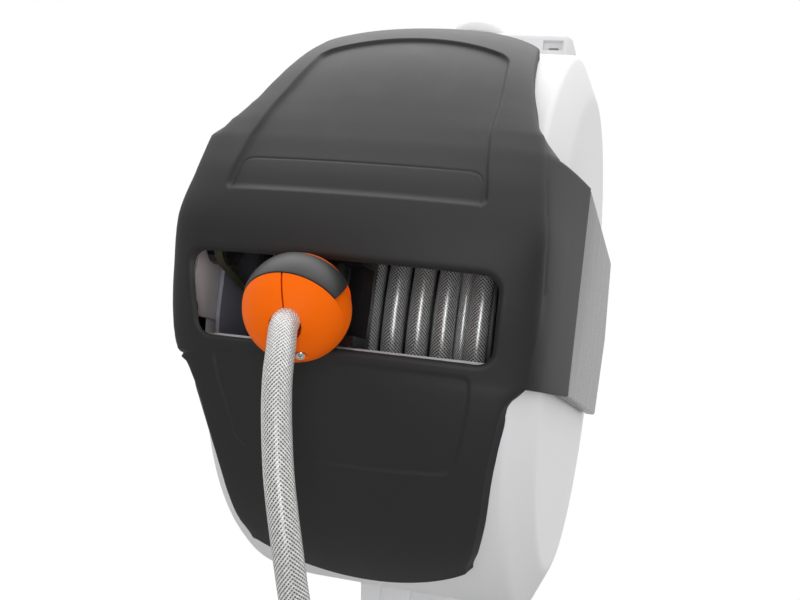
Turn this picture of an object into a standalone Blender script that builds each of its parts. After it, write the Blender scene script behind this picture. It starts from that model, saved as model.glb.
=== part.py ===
"""Wall-mounted retractable garden hose reel, modelled as separate pieces.

Units are metres and Z is up. The origin is the middle of the wall plate's back
face. The front of the reel faces -Y. The case swivels about a vertical axis, and
the drum turns about an axle along X. Every case piece is laid out about the
drum's axle, where (y, z) = (0, 0), and is then set in place by its parent.
"""

import math

import bmesh
import bpy
import numpy as np
from mathutils import Matrix, Vector

# Clearances
GAP = 0.0003
RUNNING_GAP = 0.0005
COVER_GAP = 0.0006
COVER_TUCK = 0.0015

# Wall bracket
WALL_TO_AXLE = 0.255
WALL_TO_SWIVEL = 0.195
PLATE_WIDTH = 0.110
PLATE_BEYOND_ARM = 0.0027
PLATE_THICKNESS = 0.010
PLATE_CORNER = 0.012
PLATE_RIB_DEPTH = 0.006
WALL_HOLE_RADIUS = 0.0040
WALL_HOLE_INSET_X = 0.035
WALL_HOLE_INSET_Z = 0.045
ARM_WIDTH = 0.043
ARM_THICKNESS = 0.0108
ARM_CROWN = 0.0085
PIN_RADIUS = 0.008
PIN_IN_ARM = 0.0075
PIN_IN_BOSS = 0.020

# Case
BODY_RADIUS = 0.200
SHELL_WALL = 0.003
OPENING_HALF = 0.100
OPENING_TOP = 0.070
CHEEK_X = (-0.1020, -0.0975)
CHEEK_Y = (-0.2000, -0.1600)
CHEEK_Z = (-0.0262, 0.0690)
OPENING_BOTTOM = -0.0352

# The outside of each shell, as its radius and its distance from the parting plane.
RIGHT_PROFILE = (
    (0.0, 0.114),
    (BODY_RADIUS - 0.0295, 0.112),
    (BODY_RADIUS, 0.0989),
)
LEFT_PROFILE = (
    (0.0, 0.1075),
    (BODY_RADIUS - 0.0500, 0.106),
    (BODY_RADIUS - 0.0275, 0.102),
    (BODY_RADIUS - 0.0125, 0.0935),
    (BODY_RADIUS - 0.0035, 0.0825),
    (BODY_RADIUS, 0.055),
)
BRIDGE_HALF = 0.0805
BRIDGE_DEPTH = 0.038
BRIDGE_RISE = 0.0435
BRIDGE_TOP = BODY_RADIUS + BRIDGE_RISE
BRIDGE_SUNK = 0.030
BRIDGE_BAR = 0.026
BRIDGE_CHEEK = 0.034
BRIDGE_POCKET = (0.016, 0.008)
FOOT_HALF_TOP = 0.043
FOOT_HALF_BOTTOM = 0.034
FOOT_DEPTH = 0.040
FOOT_DROP = 0.050
FOOT_BOTTOM = -BODY_RADIUS - FOOT_DROP
FOOT_SUNK = 0.025
PLATE_HEIGHT = 2 * (ARM_THICKNESS + RUNNING_GAP + PLATE_BEYOND_ARM - FOOT_BOTTOM)
BUSH_WALL = 0.0025
BUSH_FLANGE = 0.003

# Front cover
COVER_WALL = 0.003
COVER_EXPONENT = 2.6
LEDGE_TOP = 0.0865
LEDGE_BOTTOM = -0.0473
SEAM_PROUD = 0.009
SEAM_HALF = RIGHT_PROFILE[0][1] + SEAM_PROUD
SEAM_TOP_Y = -0.110
SEAM_BOTTOM_Y = -0.116
RECESS_DEPTH = 0.0012
RECESS_STEP = 0.0022
WINDOW_TOP = 0.0115
WINDOW_BOTTOM = -0.0368
WINDOW_RIGHT_TOP = 0.0905
WINDOW_LEFT_TOP = 0.0950
WINDOW_HALF_BOTTOM = 0.0885
WINDOW_CORNER = 0.009
LIP_WALL = 0.0022
LIP_DEPTH = 0.0085

# Sections of the cover, from its bottom edge to its top edge. Each has the angle
# up from the front about the drum's axle in degrees, the rise of the middle over the case,
# the half width, the depth of the rounded corner, the crown, the half width of
# the recess, the bow of the section at its ends in degrees and its shift to the right.
COVER_SECTIONS = (
    (-58.5, 0.0110, 0.0700, 0.0035, 0.0030, 0.0580, -6.0, 0.0042),
    (-52.0, 0.0110, 0.0745, 0.0035, 0.0030, 0.0600, -5.0, 0.0042),
    (-42.0, 0.0110, 0.0800, 0.0035, 0.0030, 0.0640, -3.0, 0.0041),
    (-31.0, 0.0115, 0.0845, 0.0035, 0.0035, 0.0680, -1.5, 0.0035),
    (-22.5, 0.0125, 0.0897, 0.0045, 0.0040, 0.0730, -0.6, 0.0026),
    (-19.0, 0.0135, 0.0925, 0.0055, 0.0040, 0.0760, -0.4, 0.0020),
    (-16.5, 0.0145, 0.0955, 0.0070, 0.0045, 0.0775, -0.2, 0.0012),
    (-14.2, 0.0155, 0.1015, 0.0100, 0.0055, 0.0785, 0.0, 0.0006),
    (-12.7, 0.0160, 0.1100, 0.0150, 0.0070, 0.0790, 0.0, 0.0),
    (-9.5, 0.0178, 0.1118, 0.0170, 0.0075, 0.0800, 0.0, 0.0),
    (0.0, 0.0270, 0.1125, 0.0200, 0.0080, 0.0815, 0.0, 0.0),
    (8.0, 0.0310, 0.1118, 0.0160, 0.0075, 0.0810, 0.0, 0.0),
    (15.0, 0.0290, 0.1080, 0.0125, 0.0070, 0.0785, 0.0, 0.0),
    (20.0, 0.0255, 0.1055, 0.0090, 0.0060, 0.0755, 0.0, 0.0),
    (22.5, 0.0240, 0.1045, 0.0080, 0.0055, 0.0745, 0.0, 0.0),
    (25.5, 0.0220, 0.1020, 0.0065, 0.0050, 0.0725, 0.0, 0.0004),
    (28.0, 0.0207, 0.0968, 0.0055, 0.0045, 0.0718, 0.2, 0.0010),
    (31.0, 0.0195, 0.0928, 0.0050, 0.0045, 0.0710, 0.8, 0.0018),
    (38.0, 0.0180, 0.0885, 0.0050, 0.0045, 0.0690, 4.0, 0.0034),
    (50.0, 0.0170, 0.0815, 0.0050, 0.0045, 0.0650, 8.0, 0.0042),
    (60.0, 0.0160, 0.0775, 0.0050, 0.0045, 0.0620, 9.0, 0.0042),
    (68.0, 0.0155, 0.0750, 0.0050, 0.0045, 0.0600, 9.0, 0.0042),
)
LOWER_FLARE = 0.0045
LOWER_FLARE_ANGLES = (-13.0, -20.0)
FLARE_HEIGHT = 0.0065
WALL_REACH = 0.09
UPPER_LEAN_START = 26.0
UPPER_LEAN = 1.5
LOWER_LEAN_START = -12.8
LOWER_LEAN = 1.2
UPPER_RECESS = (54.6, 12.2)
LOWER_RECESS = (-11.4, -29.8)
COVER_ROWS_ABOVE = (68.0, 62.0, 49.0, 43.0, 37.0, 32.0, 29.0, 26.5)
COVER_ROWS_BESIDE = (20.7, 16.5, 8.5, 4.0, -0.5, -5.5)
COVER_ROWS_BELOW = (-14.0, -16.0, -19.0, -23.0, -35.0, -42.0, -49.0, -54.5, -58.5)
RECESS_COLUMNS = (0.0, 0.42, 0.78)
SIDE_COLUMNS = 7
WALL_COLUMNS = 3

# Side wings
WING_REAR_TOP = (0.146, 0.0765)
WING_REAR_MIDDLE = (0.170, 0.010)
WING_REAR_BOTTOM = (0.140, -0.0575)
WING_REAR_PROUD = 0.0082
WING_REAR_HALF = RIGHT_PROFILE[0][1] + WING_REAR_PROUD
WING_WALL = 0.003
WING_CORNER = 0.006

# Axle and drum
AXLE_RADIUS = 0.010
AXLE_LEFT_END = -0.1030
HUB_RADIUS = 0.0165
FLANGE_RADIUS = 0.160
FLANGE_INSIDE = 0.0765
FLANGE_THICKNESS = 0.003
BARREL_WALL = 0.003
PULLEY_RADIUS = 0.040
PULLEY_RIM = 0.0035
BELT_PLANE = 0.0860
BELT_WIDTH = 0.005
BELT_BACK = 0.0016
BELT_TOOTH = 0.0013
BELT_PITCH = 0.008
FRAME_THICKNESS = 0.0025
FRAME_INSIDE = 0.0945
LEFT_FRAME_RADIUS = 0.1685
RIGHT_FRAME_RADIUS = 0.150
FRAME_LOBE_ANGLE = -184.0
SOCKET_RADIUS = 0.022
RATCHET_RADIUS = 0.066
RATCHET_DEPTH = 0.006
RATCHET_TEETH = 16
RATCHET_THICKNESS = 0.005
PAWL_PIVOT = (0.064, 0.056)
PAWL_PIN_RADIUS = 0.003
PAWL_THICKNESS = 0.004
SPRING_CASE_RADIUS = 0.090
SPRING_CASE_HALF = 0.018
SPRING_CASE_WALL = 0.0025
SPRING_CASE_SIDES = 24
SPRING_TURNS = 5
SPRING_STRIP = 0.0016

# Hose
HOSE_RADIUS = 0.0075
WOUND_HOSE_RADIUS = 0.0071
WINDING_RADIUS = 0.142
TURN_PITCH = 0.0161
LAST_TURN_STEP = 0.0223
LAST_STEP_SPAN = 1.0
FIRST_TURN_X = -0.0675
TURNS = 8.25
EVEN_TURNS = 7.0
LOOP_POINTS = 24
LEAD_STRAIGHT = 0.008
LEAD_BEND = 0.020
LEAD_SWEEP = 55.0
LEAD_DRIFT = 0.008
LEAD_CLEARANCE = 0.0015

# Hose guide
SCREW_PLACE = (-0.186, 0.022)
SCREW_RADIUS = 0.0055
SCREW_JOURNAL = 0.004
SCREW_PULLEY_RADIUS = 0.013
ROD_PLACE = (-0.176, 0.052)
ROD_RADIUS = 0.004
GUIDE_CENTRE_X = -0.020
GUIDE_HALF = 0.027
GUIDE_FRONT = -0.203
GUIDE_BACK = -0.171
GUIDE_BOTTOM = -0.0345
GUIDE_HEAD_BOTTOM = 0.0125
GUIDE_HEAD_TOP = 0.060
GUIDE_SHOE = 0.006
ROLLER_RADIUS = 0.006
ROLLER_SPREAD = 0.015
ROLLER_SHIFT = -0.004
ROLLER_Y = -0.193
ROLLER_PIN_RADIUS = 0.002
ROLLER_PIN_SPAN = (GUIDE_BOTTOM + 0.002, GUIDE_HEAD_BOTTOM + 0.006)
THROAT_CLEARANCE = 0.001

# Ball stop and free hose
BALL_CENTRE = (-0.015, -0.240, -0.018)
BALL_RADIUS = 0.030
BALL_HOSE_LEAN = (0.176, -0.916, -0.358)
BALL_SEAM_NORMAL = (0.965, 0.095, 0.242)
BALL_BORE = 0.0083
BALL_SEAM = 0.0006
BAND_AXIS = (0.0, 0.682, 0.731)
BAND_REACH = (-0.0059, 0.0165)
BAND_DEPTH = 0.0035
BAND_PROUD = 0.0005
BAND_END_NORMAL = (0.424, -0.4635, 0.779)
BALL_SCREW_PLACE = (0.0085, -0.0080, -0.0276)
BALL_SCREW_RADIUS = 0.0025
BALL_SCREW_LENGTH = 0.012
MOUTH_DEPTH = 0.010
STUB_BEHIND = 0.0620
FREE_HOSE_ROUTE = (
    (-0.0044, -0.2868, -0.0407),
    (0.0004, -0.2976, -0.0538),
    (0.0051, -0.3050, -0.0692),
    (0.0092, -0.3091, -0.0861),
    (0.0129, -0.3098, -0.1037),
    (0.0163, -0.3077, -0.1212),
    (0.0194, -0.3033, -0.1384),
    (0.0222, -0.2971, -0.1551),
    (0.0247, -0.2897, -0.1713),
    (0.0260, -0.2852, -0.1893),
    (0.0267, -0.2817, -0.2093),
    (0.0271, -0.2792, -0.2313),
    (0.0273, -0.2779, -0.2573),
    (0.0273, -0.2775, -0.2873),
    (0.0273, -0.2775, -0.3233),
    (0.0273, -0.2775, -0.3633),
    (0.0273, -0.2775, -0.4033),
    (0.0273, -0.2775, -0.4433),
    (0.0273, -0.2775, -0.4833),
    (0.0273, -0.2775, -0.5233),
    (0.0273, -0.2775, -0.5613),
)
CONNECTOR_RADIUS = 0.0145
CONNECTOR_LENGTH = 0.042
NUT_RADIUS = 0.0150
NUT_LENGTH = 0.018
HOSE_IN_NUT = 0.0174
CONNECTOR_BORE = 0.0085

# Water inlet
INLET_PLACE = (0.060, 0.120)
INLET_RADIUS = 0.0100
INLET_BOTTOM = -0.197
FEED_RADIUS = 0.0045
JOINT_RADIUS = 0.0165
FEED_ROUTE = (
    (0.060, 0.120, -0.1482),
    (0.060, 0.120, -0.138),
    (0.064, 0.1195, -0.1335),
    (0.074, 0.116, -0.130),
    (0.086, 0.111, -0.128),
    (0.096, 0.105, -0.124),
    (0.1012, 0.098, -0.116),
    (0.1025, 0.088, -0.105),
    (0.1025, 0.068, -0.081),
    (0.1025, 0.046, -0.055),
    (0.1025, 0.028, -0.0335),
    (0.1025, 0.0112, -0.0134),
)

SIDE_ON = (math.pi / 2, 0.0, math.pi / 2)
FRONT_ON = (math.pi / 2, 0.0, 0.0)
ALONG_X = (0.0, math.pi / 2, 0.0)
UPRIGHT = (0.0, 0.0, 0.0)

for leftover in list(bpy.data.objects):
    bpy.data.objects.remove(leftover)

parts = bpy.data.collections.new("retractable_hose_reel")
cutters = bpy.data.collections.new("cutters")
for collection in (parts, cutters):
    bpy.context.scene.collection.children.link(collection)


def material(name, colour, roughness, metallic=0.0, transmission=0.0):
    """A Principled material of one colour."""
    made = bpy.data.materials.new(name)
    made.use_nodes = True
    shader = made.node_tree.nodes["Principled BSDF"]
    shader.inputs["Base Color"].default_value = (*colour, 1.0)
    shader.inputs["Roughness"].default_value = roughness
    shader.inputs["Metallic"].default_value = metallic
    shader.inputs["Transmission Weight"].default_value = transmission
    made.diffuse_color = (*colour, 1.0)
    return made


COLOURS = {
    "white_plastic": ((0.80, 0.81, 0.83), 0.35, 0.0),
    "charcoal_plastic": ((0.045, 0.043, 0.044), 0.45, 0.0),
    "grey_plastic": ((0.16, 0.165, 0.175), 0.40, 0.0),
    "black_plastic": ((0.012, 0.012, 0.013), 0.25, 0.0),
    "orange_plastic": ((0.86, 0.16, 0.012), 0.40, 0.0),
    "soft_black": ((0.020, 0.020, 0.020), 0.55, 0.0),
    "clear_hose": ((0.42, 0.42, 0.43), 0.30, 0.0),
    "belt_rubber": ((0.085, 0.088, 0.060), 0.70, 0.0),
    "steel": ((0.55, 0.56, 0.58), 0.30, 1.0),
    "brass": ((0.66, 0.47, 0.20), 0.35, 1.0),
}


def empty(name, parent, location):
    """An axis or a centre that pieces hang on."""
    made = bpy.data.objects.new(name, None)
    made.empty_display_size = 0.02
    made.parent = parent
    made.location = location
    parts.objects.link(made)
    return made


def place(obj, kind, parent, location=(0.0, 0.0, 0.0), turn=None):
    """Gives a piece its material, its parent and its place."""
    colour, roughness, metallic = COLOURS[kind]
    obj.data.materials.append(material(obj.name, colour, roughness, metallic))
    obj.parent = parent
    obj.location = location
    if turn is not None:
        obj.rotation_euler = turn
    return obj


def object_from(bm, name, collection=parts):
    """A mesh object made from a bmesh."""
    mesh = bpy.data.meshes.new(name)
    bm.to_mesh(mesh)
    bm.free()
    made = bpy.data.objects.new(name, mesh)
    collection.objects.link(made)
    return made


def soften(obj, width, segments=2, angle=50.0):
    """Rounds the sharp edges of a piece."""
    bevel = obj.modifiers.new("rounded_edges", "BEVEL")
    bevel.width = width
    bevel.segments = segments
    bevel.limit_method = "ANGLE"
    bevel.angle_limit = math.radians(angle)
    return obj


def block(name, low, high, collection=parts):
    """A box between two corners."""
    bm = bmesh.new()
    bmesh.ops.create_cube(bm, size=1.0)
    size = [b - a for a, b in zip(low, high, strict=True)]
    middle = [(a + b) / 2 for a, b in zip(low, high, strict=True)]
    bmesh.ops.scale(bm, vec=size, verts=bm.verts)
    bmesh.ops.translate(bm, vec=middle, verts=bm.verts)
    return object_from(bm, name, collection)


def rod(name, radius, start, end, sides=24, end_radius=None, collection=parts):
    """A straight round bar or cone between two points."""
    start, end = Vector(start), Vector(end)
    bm = bmesh.new()
    bmesh.ops.create_cone(
        bm,
        cap_ends=True,
        segments=sides,
        radius1=radius,
        radius2=radius if end_radius is None else end_radius,
        depth=(end - start).length,
    )
    turn = Vector((0, 0, 1)).rotation_difference(end - start).to_matrix().to_4x4()
    bmesh.ops.transform(bm, matrix=Matrix.Translation((start + end) / 2) @ turn, verts=bm.verts)
    return object_from(bm, name, collection)


def turned(name, profile, steps=32, collection=parts):
    """A profile of (radius, height) points turned about Z, listed down its outer side.

    A profile that ends on the axis makes a solid, and a closed one makes a ring.
    """
    bm = bmesh.new()
    made = [bm.verts.new((radius, 0.0, height)) for radius, height in profile]
    on_axis = profile[0][0] == 0.0 and profile[-1][0] == 0.0
    ends = made if on_axis else [*made, made[0]]
    for a, b in zip(ends, ends[1:], strict=False):
        bm.edges.new((a, b))
    obj = object_from(bm, name, collection)
    screw = obj.modifiers.new("turned", "SCREW")
    screw.steps = steps
    screw.render_steps = steps
    screw.use_merge_vertices = True
    screw.merge_threshold = 0.00001
    screw.use_normal_calculate = True
    screw.use_normal_flip = faces_inwards(obj)
    return obj


def faces_inwards(obj):
    """Whether a piece's faces point into it, told by the sign of its volume."""
    bpy.context.view_layer.update()
    bm = bmesh.new()
    bm.from_object(obj, bpy.context.evaluated_depsgraph_get())
    volume = bm.calc_volume(signed=True)
    bm.free()
    return volume < 0.0


def outline_plate(name, points, thickness, collection=parts):
    """A flat outline in its own XY plane, given a thickness along its Z."""
    curve = bpy.data.curves.new(name, "CURVE")
    curve.dimensions = "2D"
    curve.fill_mode = "BOTH"
    curve.extrude = thickness / 2
    spline = curve.splines.new("POLY")
    spline.points.add(len(points) - 1)
    for point, (x, y) in zip(spline.points, points, strict=True):
        point.co = (x, y, 0.0, 1.0)
    spline.use_cyclic_u = True
    return meshed(name, curve, collection)


def meshed(name, curve, collection=parts):
    """A curve's surface as a mesh with its caps welded on."""
    guide = bpy.data.objects.new(name + "_curve", curve)
    cutters.objects.link(guide)
    bpy.context.view_layer.update()
    mesh = bpy.data.meshes.new_from_object(guide.evaluated_get(bpy.context.evaluated_depsgraph_get()))
    bpy.data.objects.remove(guide)
    bm = bmesh.new()
    bm.from_mesh(mesh)
    bpy.data.meshes.remove(mesh)
    bmesh.ops.remove_doubles(bm, verts=bm.verts, dist=0.000005)
    bmesh.ops.recalc_face_normals(bm, faces=bm.faces)
    return object_from(bm, name, collection)


def tube(name, route, radius, resolution, collection=parts):
    """A round tube along a list of points, with filled ends."""
    curve = bpy.data.curves.new(name, "CURVE")
    curve.dimensions = "3D"
    curve.bevel_depth = radius
    curve.bevel_resolution = resolution
    curve.use_fill_caps = True
    spline = curve.splines.new("POLY")
    spline.points.add(len(route) - 1)
    for point, place_at in zip(spline.points, route, strict=True):
        point.co = (*place_at, 1.0)
    return meshed(name, curve, collection)


def combine(obj, other, operation):
    """Cuts a hidden solid out of a piece, or joins one to it."""
    if other.name in parts.objects:
        parts.objects.unlink(other)
        cutters.objects.link(other)
    other.hide_render = True
    other.display_type = "WIRE"
    if other.parent is None:
        other.parent = obj.parent
    boolean = obj.modifiers.new(other.name, "BOOLEAN")
    boolean.operation = operation
    boolean.solver = "EXACT"
    boolean.object = other
    return obj


def cut(obj, *others):
    for other in others:
        combine(obj, other, "DIFFERENCE")
    return obj


def join(obj, *others):
    for other in others:
        combine(obj, other, "UNION")
    return obj


def settle(obj):
    """Applies a piece's modifiers, so that it can be moved or joined as one mesh."""
    bpy.context.view_layer.update()
    mesh = bpy.data.meshes.new_from_object(obj.evaluated_get(bpy.context.evaluated_depsgraph_get()))
    obj.modifiers.clear()
    obj.data = mesh
    return obj


def arc(centre, radius, start, end, steps):
    """Points of a round stretch of an outline, with angles in degrees."""
    return [
        (
            centre[0] + radius * math.cos(math.radians(start + (end - start) * i / steps)),
            centre[1] + radius * math.sin(math.radians(start + (end - start) * i / steps)),
        )
        for i in range(steps + 1)
    ]


def rounded_outline(corners, radius, steps=4):
    """A polygon with its corners rounded, listed anticlockwise."""
    points = []
    count = len(corners)
    for i in range(count):
        before, corner, after = (Vector(corners[(i + k) % count]) for k in (-1, 0, 1))
        back, ahead = (before - corner).normalized(), (after - corner).normalized()
        half = back.angle(ahead) / 2
        reach = radius / math.tan(half)
        centre = corner + (back + ahead).normalized() * radius / math.sin(half)
        first, last = corner + back * reach - centre, corner + ahead * reach - centre
        sweep = first.angle_signed(last)
        for k in range(steps + 1):
            turn = Matrix.Rotation(-sweep * k / steps, 2)
            points.append(tuple(centre + turn @ first))
    return points


def smooth_value(angle, column):
    """A size of the cover at an angle, on a smooth curve through its sections."""
    xs = [section[0] for section in COVER_SECTIONS]
    ys = [section[column] for section in COVER_SECTIONS]
    angle = min(max(angle, xs[0]), xs[-1])
    i = min(max(int(np.searchsorted(xs, angle)) - 1, 0), len(xs) - 2)

    def slope(k):
        if k in (0, len(xs) - 1):
            return 0.0
        left = (ys[k] - ys[k - 1]) / (xs[k] - xs[k - 1])
        right = (ys[k + 1] - ys[k]) / (xs[k + 1] - xs[k])
        return 0.0 if left * right <= 0 else 2 * left * right / (left + right)

    width = xs[i + 1] - xs[i]
    t = (angle - xs[i]) / width
    return (
        (2 * t**3 - 3 * t**2 + 1) * ys[i]
        + (t**3 - 2 * t**2 + t) * width * slope(i)
        + (3 * t**2 - 2 * t**3) * ys[i + 1]
        + (t**3 - t**2) * width * slope(i + 1)
    )


def inward_lean(angle):
    """How far a section's walls lean from straight back, in degrees."""
    if angle > UPPER_LEAN_START:
        return (angle - UPPER_LEAN_START) * UPPER_LEAN
    if angle < LOWER_LEAN_START:
        return (angle - LOWER_LEAN_START) * LOWER_LEAN
    return 0.0


def ledge_angle(height):
    """The angle at which the cover's middle line stands at a height."""
    low, high = -30.0, 40.0
    for _ in range(40):
        angle = (low + high) / 2
        if (BODY_RADIUS + smooth_value(angle, 1)) * math.sin(math.radians(angle)) < height:
            low = angle
        else:
            high = angle
    return angle


def body_radius(x):
    """The case's outer radius at a place across it, with x positive to the right."""
    profile = RIGHT_PROFILE if x > 0 else LEFT_PROFILE
    return float(np.interp(-abs(x), [-half for _, half in profile], [radius for radius, _ in profile]))


def body_half(y, z, side):
    """The case's half width on one side, at a place seen from that side."""
    profile = RIGHT_PROFILE if side > 0 else LEFT_PROFILE
    return float(np.interp(math.hypot(y, z), [p[0] for p in profile], [p[1] for p in profile]))


def seam_y(z):
    """Where the cover ends and a wing begins, at a height."""
    share = (z - LEDGE_BOTTOM) / (LEDGE_TOP - LEDGE_BOTTOM)
    return SEAM_BOTTOM_Y + share * (SEAM_TOP_Y - SEAM_BOTTOM_Y)


class Section:
    """One section across the cover, at an angle about the drum's axle."""

    def __init__(self, angle):
        self.angle = angle
        self.radius = BODY_RADIUS + smooth_value(angle, 1)
        self.half = smooth_value(angle, 2)
        self.corner = smooth_value(angle, 3)
        self.crown = smooth_value(angle, 4)
        self.recess_half = smooth_value(angle, 5)
        self.bow = smooth_value(angle, 6)
        self.shift = smooth_value(angle, 7)
        start, full = LOWER_FLARE_ANGLES
        self.flare = LOWER_FLARE * min(max((start - angle) / (start - full), 0.0), 1.0)

    def drop(self, x):
        """How far the face lies behind the section's middle, at x."""
        share = min(abs(x) / self.half, 1.0)
        corner = 1.0 - (1.0 - share**COVER_EXPONENT) ** (1.0 / COVER_EXPONENT)
        return self.crown * share**2 + self.corner * corner

    def point(self, x, depth):
        """The place at a distance from the middle and a depth behind it."""
        share = min(abs(x) / self.half, 1.0)
        angle = self.angle - self.bow * share**2
        around, lean = math.radians(angle), math.radians(inward_lean(angle))
        y = -self.radius * math.cos(around) + depth * math.cos(lean)
        z = self.radius * math.sin(around) - depth * math.sin(lean)
        return (x + self.shift, y, z)

    def side_path(self, fine=60):
        """Points from the recess's edge round the corner and down the side wall."""
        path = []
        start = math.asin((self.recess_half / self.half) ** (COVER_EXPONENT / 2))
        for i in range(fine + 1):
            turn = start + (math.pi / 2 - start) * i / fine
            x = self.half * math.sin(turn) ** (2 / COVER_EXPONENT)
            path.append((x, self.drop(x)))
        deep = self.corner + self.crown
        seam_half = max(SEAM_HALF, self.half)
        beside = LEDGE_BOTTOM - 1e-6 <= self.point(0, 0)[2] <= LEDGE_TOP + 1e-6
        reach = seam_y(self.point(0, 0)[2]) - self.point(0, 0)[1] if beside else deep + WALL_REACH
        for i in range(1, fine + 1):
            share = i / fine
            if beside:
                x = self.half + (seam_half - self.half) * share**0.6
            else:
                x = self.half + self.flare * min(share * WALL_REACH / FLARE_HEIGHT, 1.0)
            path.append((x, deep + (reach - deep) * share))
        return path, beside

    def meets_body(self, x, depth):
        """Whether a place on the side wall has come down to the case."""
        place_x, y, z = self.point(x, depth)
        inner = max(abs(place_x) - COVER_WALL - GAP, 0.001)
        return math.hypot(y, z) <= body_radius(math.copysign(inner, x)) - COVER_TUCK

    def side_columns(self, side):
        """A side's points, (x, depth): those down to the case, then those to the seam."""
        path, beside = self.side_path()
        path = [(side * x, depth) for x, depth in path]
        if beside:
            band = math.sqrt(BODY_RADIUS**2 - self.point(0, 0)[2] ** 2)
            split = -band - self.point(0, 0)[1]
            at = next(i for i, (_, depth) in enumerate(path) if depth >= split)
        else:
            at = next(i for i, (x, depth) in enumerate(path) if self.meets_body(x, depth))
        shared = spread(path[: at + 1], SIDE_COLUMNS)
        return shared, spread(path[at:], WALL_COLUMNS)[1:] if beside else []


def spread(path, count):
    """A path's points again, evenly spaced."""
    steps = [math.dist(a, b) for a, b in zip(path, path[1:], strict=False)]
    along = np.concatenate([[0.0], np.cumsum(steps)])
    at = np.linspace(0.0, along[-1], count)
    return [tuple(np.interp(at, along, [p[k] for p in path])[i] for k in (0, 1)) for i in range(count)]


def recessed(angle):
    """Whether a section's middle part is in one of the two recesses."""
    upper = UPPER_RECESS[1] - 0.01 <= angle <= UPPER_RECESS[0] + 0.01
    lower = LOWER_RECESS[1] - 0.01 <= angle <= LOWER_RECESS[0] + 0.01
    return upper or lower


def cover_rows():
    """The angles of the cover's rows, from the top down, with each recess's edges."""
    step = math.degrees(RECESS_STEP / BODY_RADIUS)
    above = [*COVER_ROWS_ABOVE, UPPER_RECESS[0] + step, UPPER_RECESS[0]]
    beside = [*COVER_ROWS_BESIDE, UPPER_RECESS[1], UPPER_RECESS[1] - step]
    beside += [LOWER_RECESS[0] + step, LOWER_RECESS[0]]
    beside += [ledge_angle(LEDGE_TOP), ledge_angle(LEDGE_BOTTOM)]
    below = [*COVER_ROWS_BELOW, LOWER_RECESS[1], LOWER_RECESS[1] - step]
    return sorted([*above, *beside, *below], reverse=True)


def cover_skin(name):
    """The cover's outer skin: the face, its corners and walls, and the ledges of its sides."""
    bm = bmesh.new()
    grid = []
    walls = []
    for angle in cover_rows():
        section = Section(angle)
        edge = section.recess_half - RECESS_STEP
        sunk = RECESS_DEPTH if recessed(angle) else 0.0
        face = [(edge * share, section.drop(edge * share) + sunk) for share in (*RECESS_COLUMNS, 1.0)]
        left, left_wall = section.side_columns(-1)
        right, right_wall = section.side_columns(1)
        row = [*reversed(left), *((-x, depth) for x, depth in reversed(face[1:])), *face, *right]
        grid.append([bm.verts.new(section.point(x, depth)) for x, depth in row])
        if left_wall:
            outer = [
                [bm.verts.new(section.point(x, depth)) for x, depth in wall]
                for wall in (left_wall, right_wall)
            ]
            walls.append(([grid[-1][0], *outer[0]], [grid[-1][-1], *outer[1]]))
    for upper, lower in zip(grid, grid[1:], strict=False):
        for i in range(len(upper) - 1):
            bm.faces.new((upper[i], lower[i], lower[i + 1], upper[i + 1]))
    for (upper_left, upper_right), (lower_left, lower_right) in zip(walls, walls[1:], strict=False):
        for i in range(len(upper_left) - 1):
            bm.faces.new((upper_left[i], upper_left[i + 1], lower_left[i + 1], lower_left[i]))
            bm.faces.new((upper_right[i], lower_right[i], lower_right[i + 1], upper_right[i + 1]))
    for row, flip in ((walls[0], False), (walls[-1], True)):
        for line, side in ((row[0], -1), (row[1], 1)):
            inner = [line[0]]
            for vert in line[1:]:
                x = body_half(vert.co.y, vert.co.z, side) - COVER_TUCK
                inner.append(bm.verts.new((side * x, vert.co.y, vert.co.z)))
            for i in range(len(line) - 1):
                corners = [inner[i], line[i], line[i + 1], inner[i + 1]]
                corners = list(dict.fromkeys(corners))
                if (side > 0) == flip:
                    corners.reverse()
                bm.faces.new(corners)
    return object_from(bm, name)


def window_outline():
    """The window's outline seen from the front, as (x, z) points."""
    corners = [
        (side * window_half(height, side), height)
        for side, height in ((-1, WINDOW_BOTTOM), (1, WINDOW_BOTTOM), (1, WINDOW_TOP), (-1, WINDOW_TOP))
    ]
    return rounded_outline(corners, WINDOW_CORNER)


def window_half(height, side):
    """The window's half width on one side, at a height."""
    top = WINDOW_RIGHT_TOP if side > 0 else WINDOW_LEFT_TOP
    share = (height - WINDOW_BOTTOM) / (WINDOW_TOP - WINDOW_BOTTOM)
    return WINDOW_HALF_BOTTOM + share * (top - WINDOW_HALF_BOTTOM)


# Axes that the pieces hang on
AXLE = (0.0, WALL_TO_SWIVEL - WALL_TO_AXLE, 0.0)
swivel_axis = empty("swivel_axis", None, (0.0, -WALL_TO_SWIVEL, 0.0))
reel_axis = empty("reel_axis", swivel_axis, AXLE)
guide_screw_axis = empty("guide_screw_axis", swivel_axis, (0.0, AXLE[1] + SCREW_PLACE[0], SCREW_PLACE[1]))
guide_centre = empty("guide_centre", swivel_axis, (GUIDE_CENTRE_X, AXLE[1] + ROLLER_Y, 0.0))
ball_centre = empty(
    "ball_centre", guide_centre, (BALL_CENTRE[0] - GUIDE_CENTRE_X, BALL_CENTRE[1] - ROLLER_Y, BALL_CENTRE[2])
)
SWIVEL_Y = WALL_TO_AXLE - WALL_TO_SWIVEL


def in_case(obj, kind, turn=None):
    """Sets a piece that was laid out about the drum's axle into the case."""
    return place(obj, kind, swivel_axis, AXLE, turn)


def case_cutter(obj, turn=None):
    """Sets a cutter that was laid out about the drum's axle."""
    obj.parent = swivel_axis
    obj.location = AXLE
    if turn is not None:
        obj.rotation_euler = turn
    return obj


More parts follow.
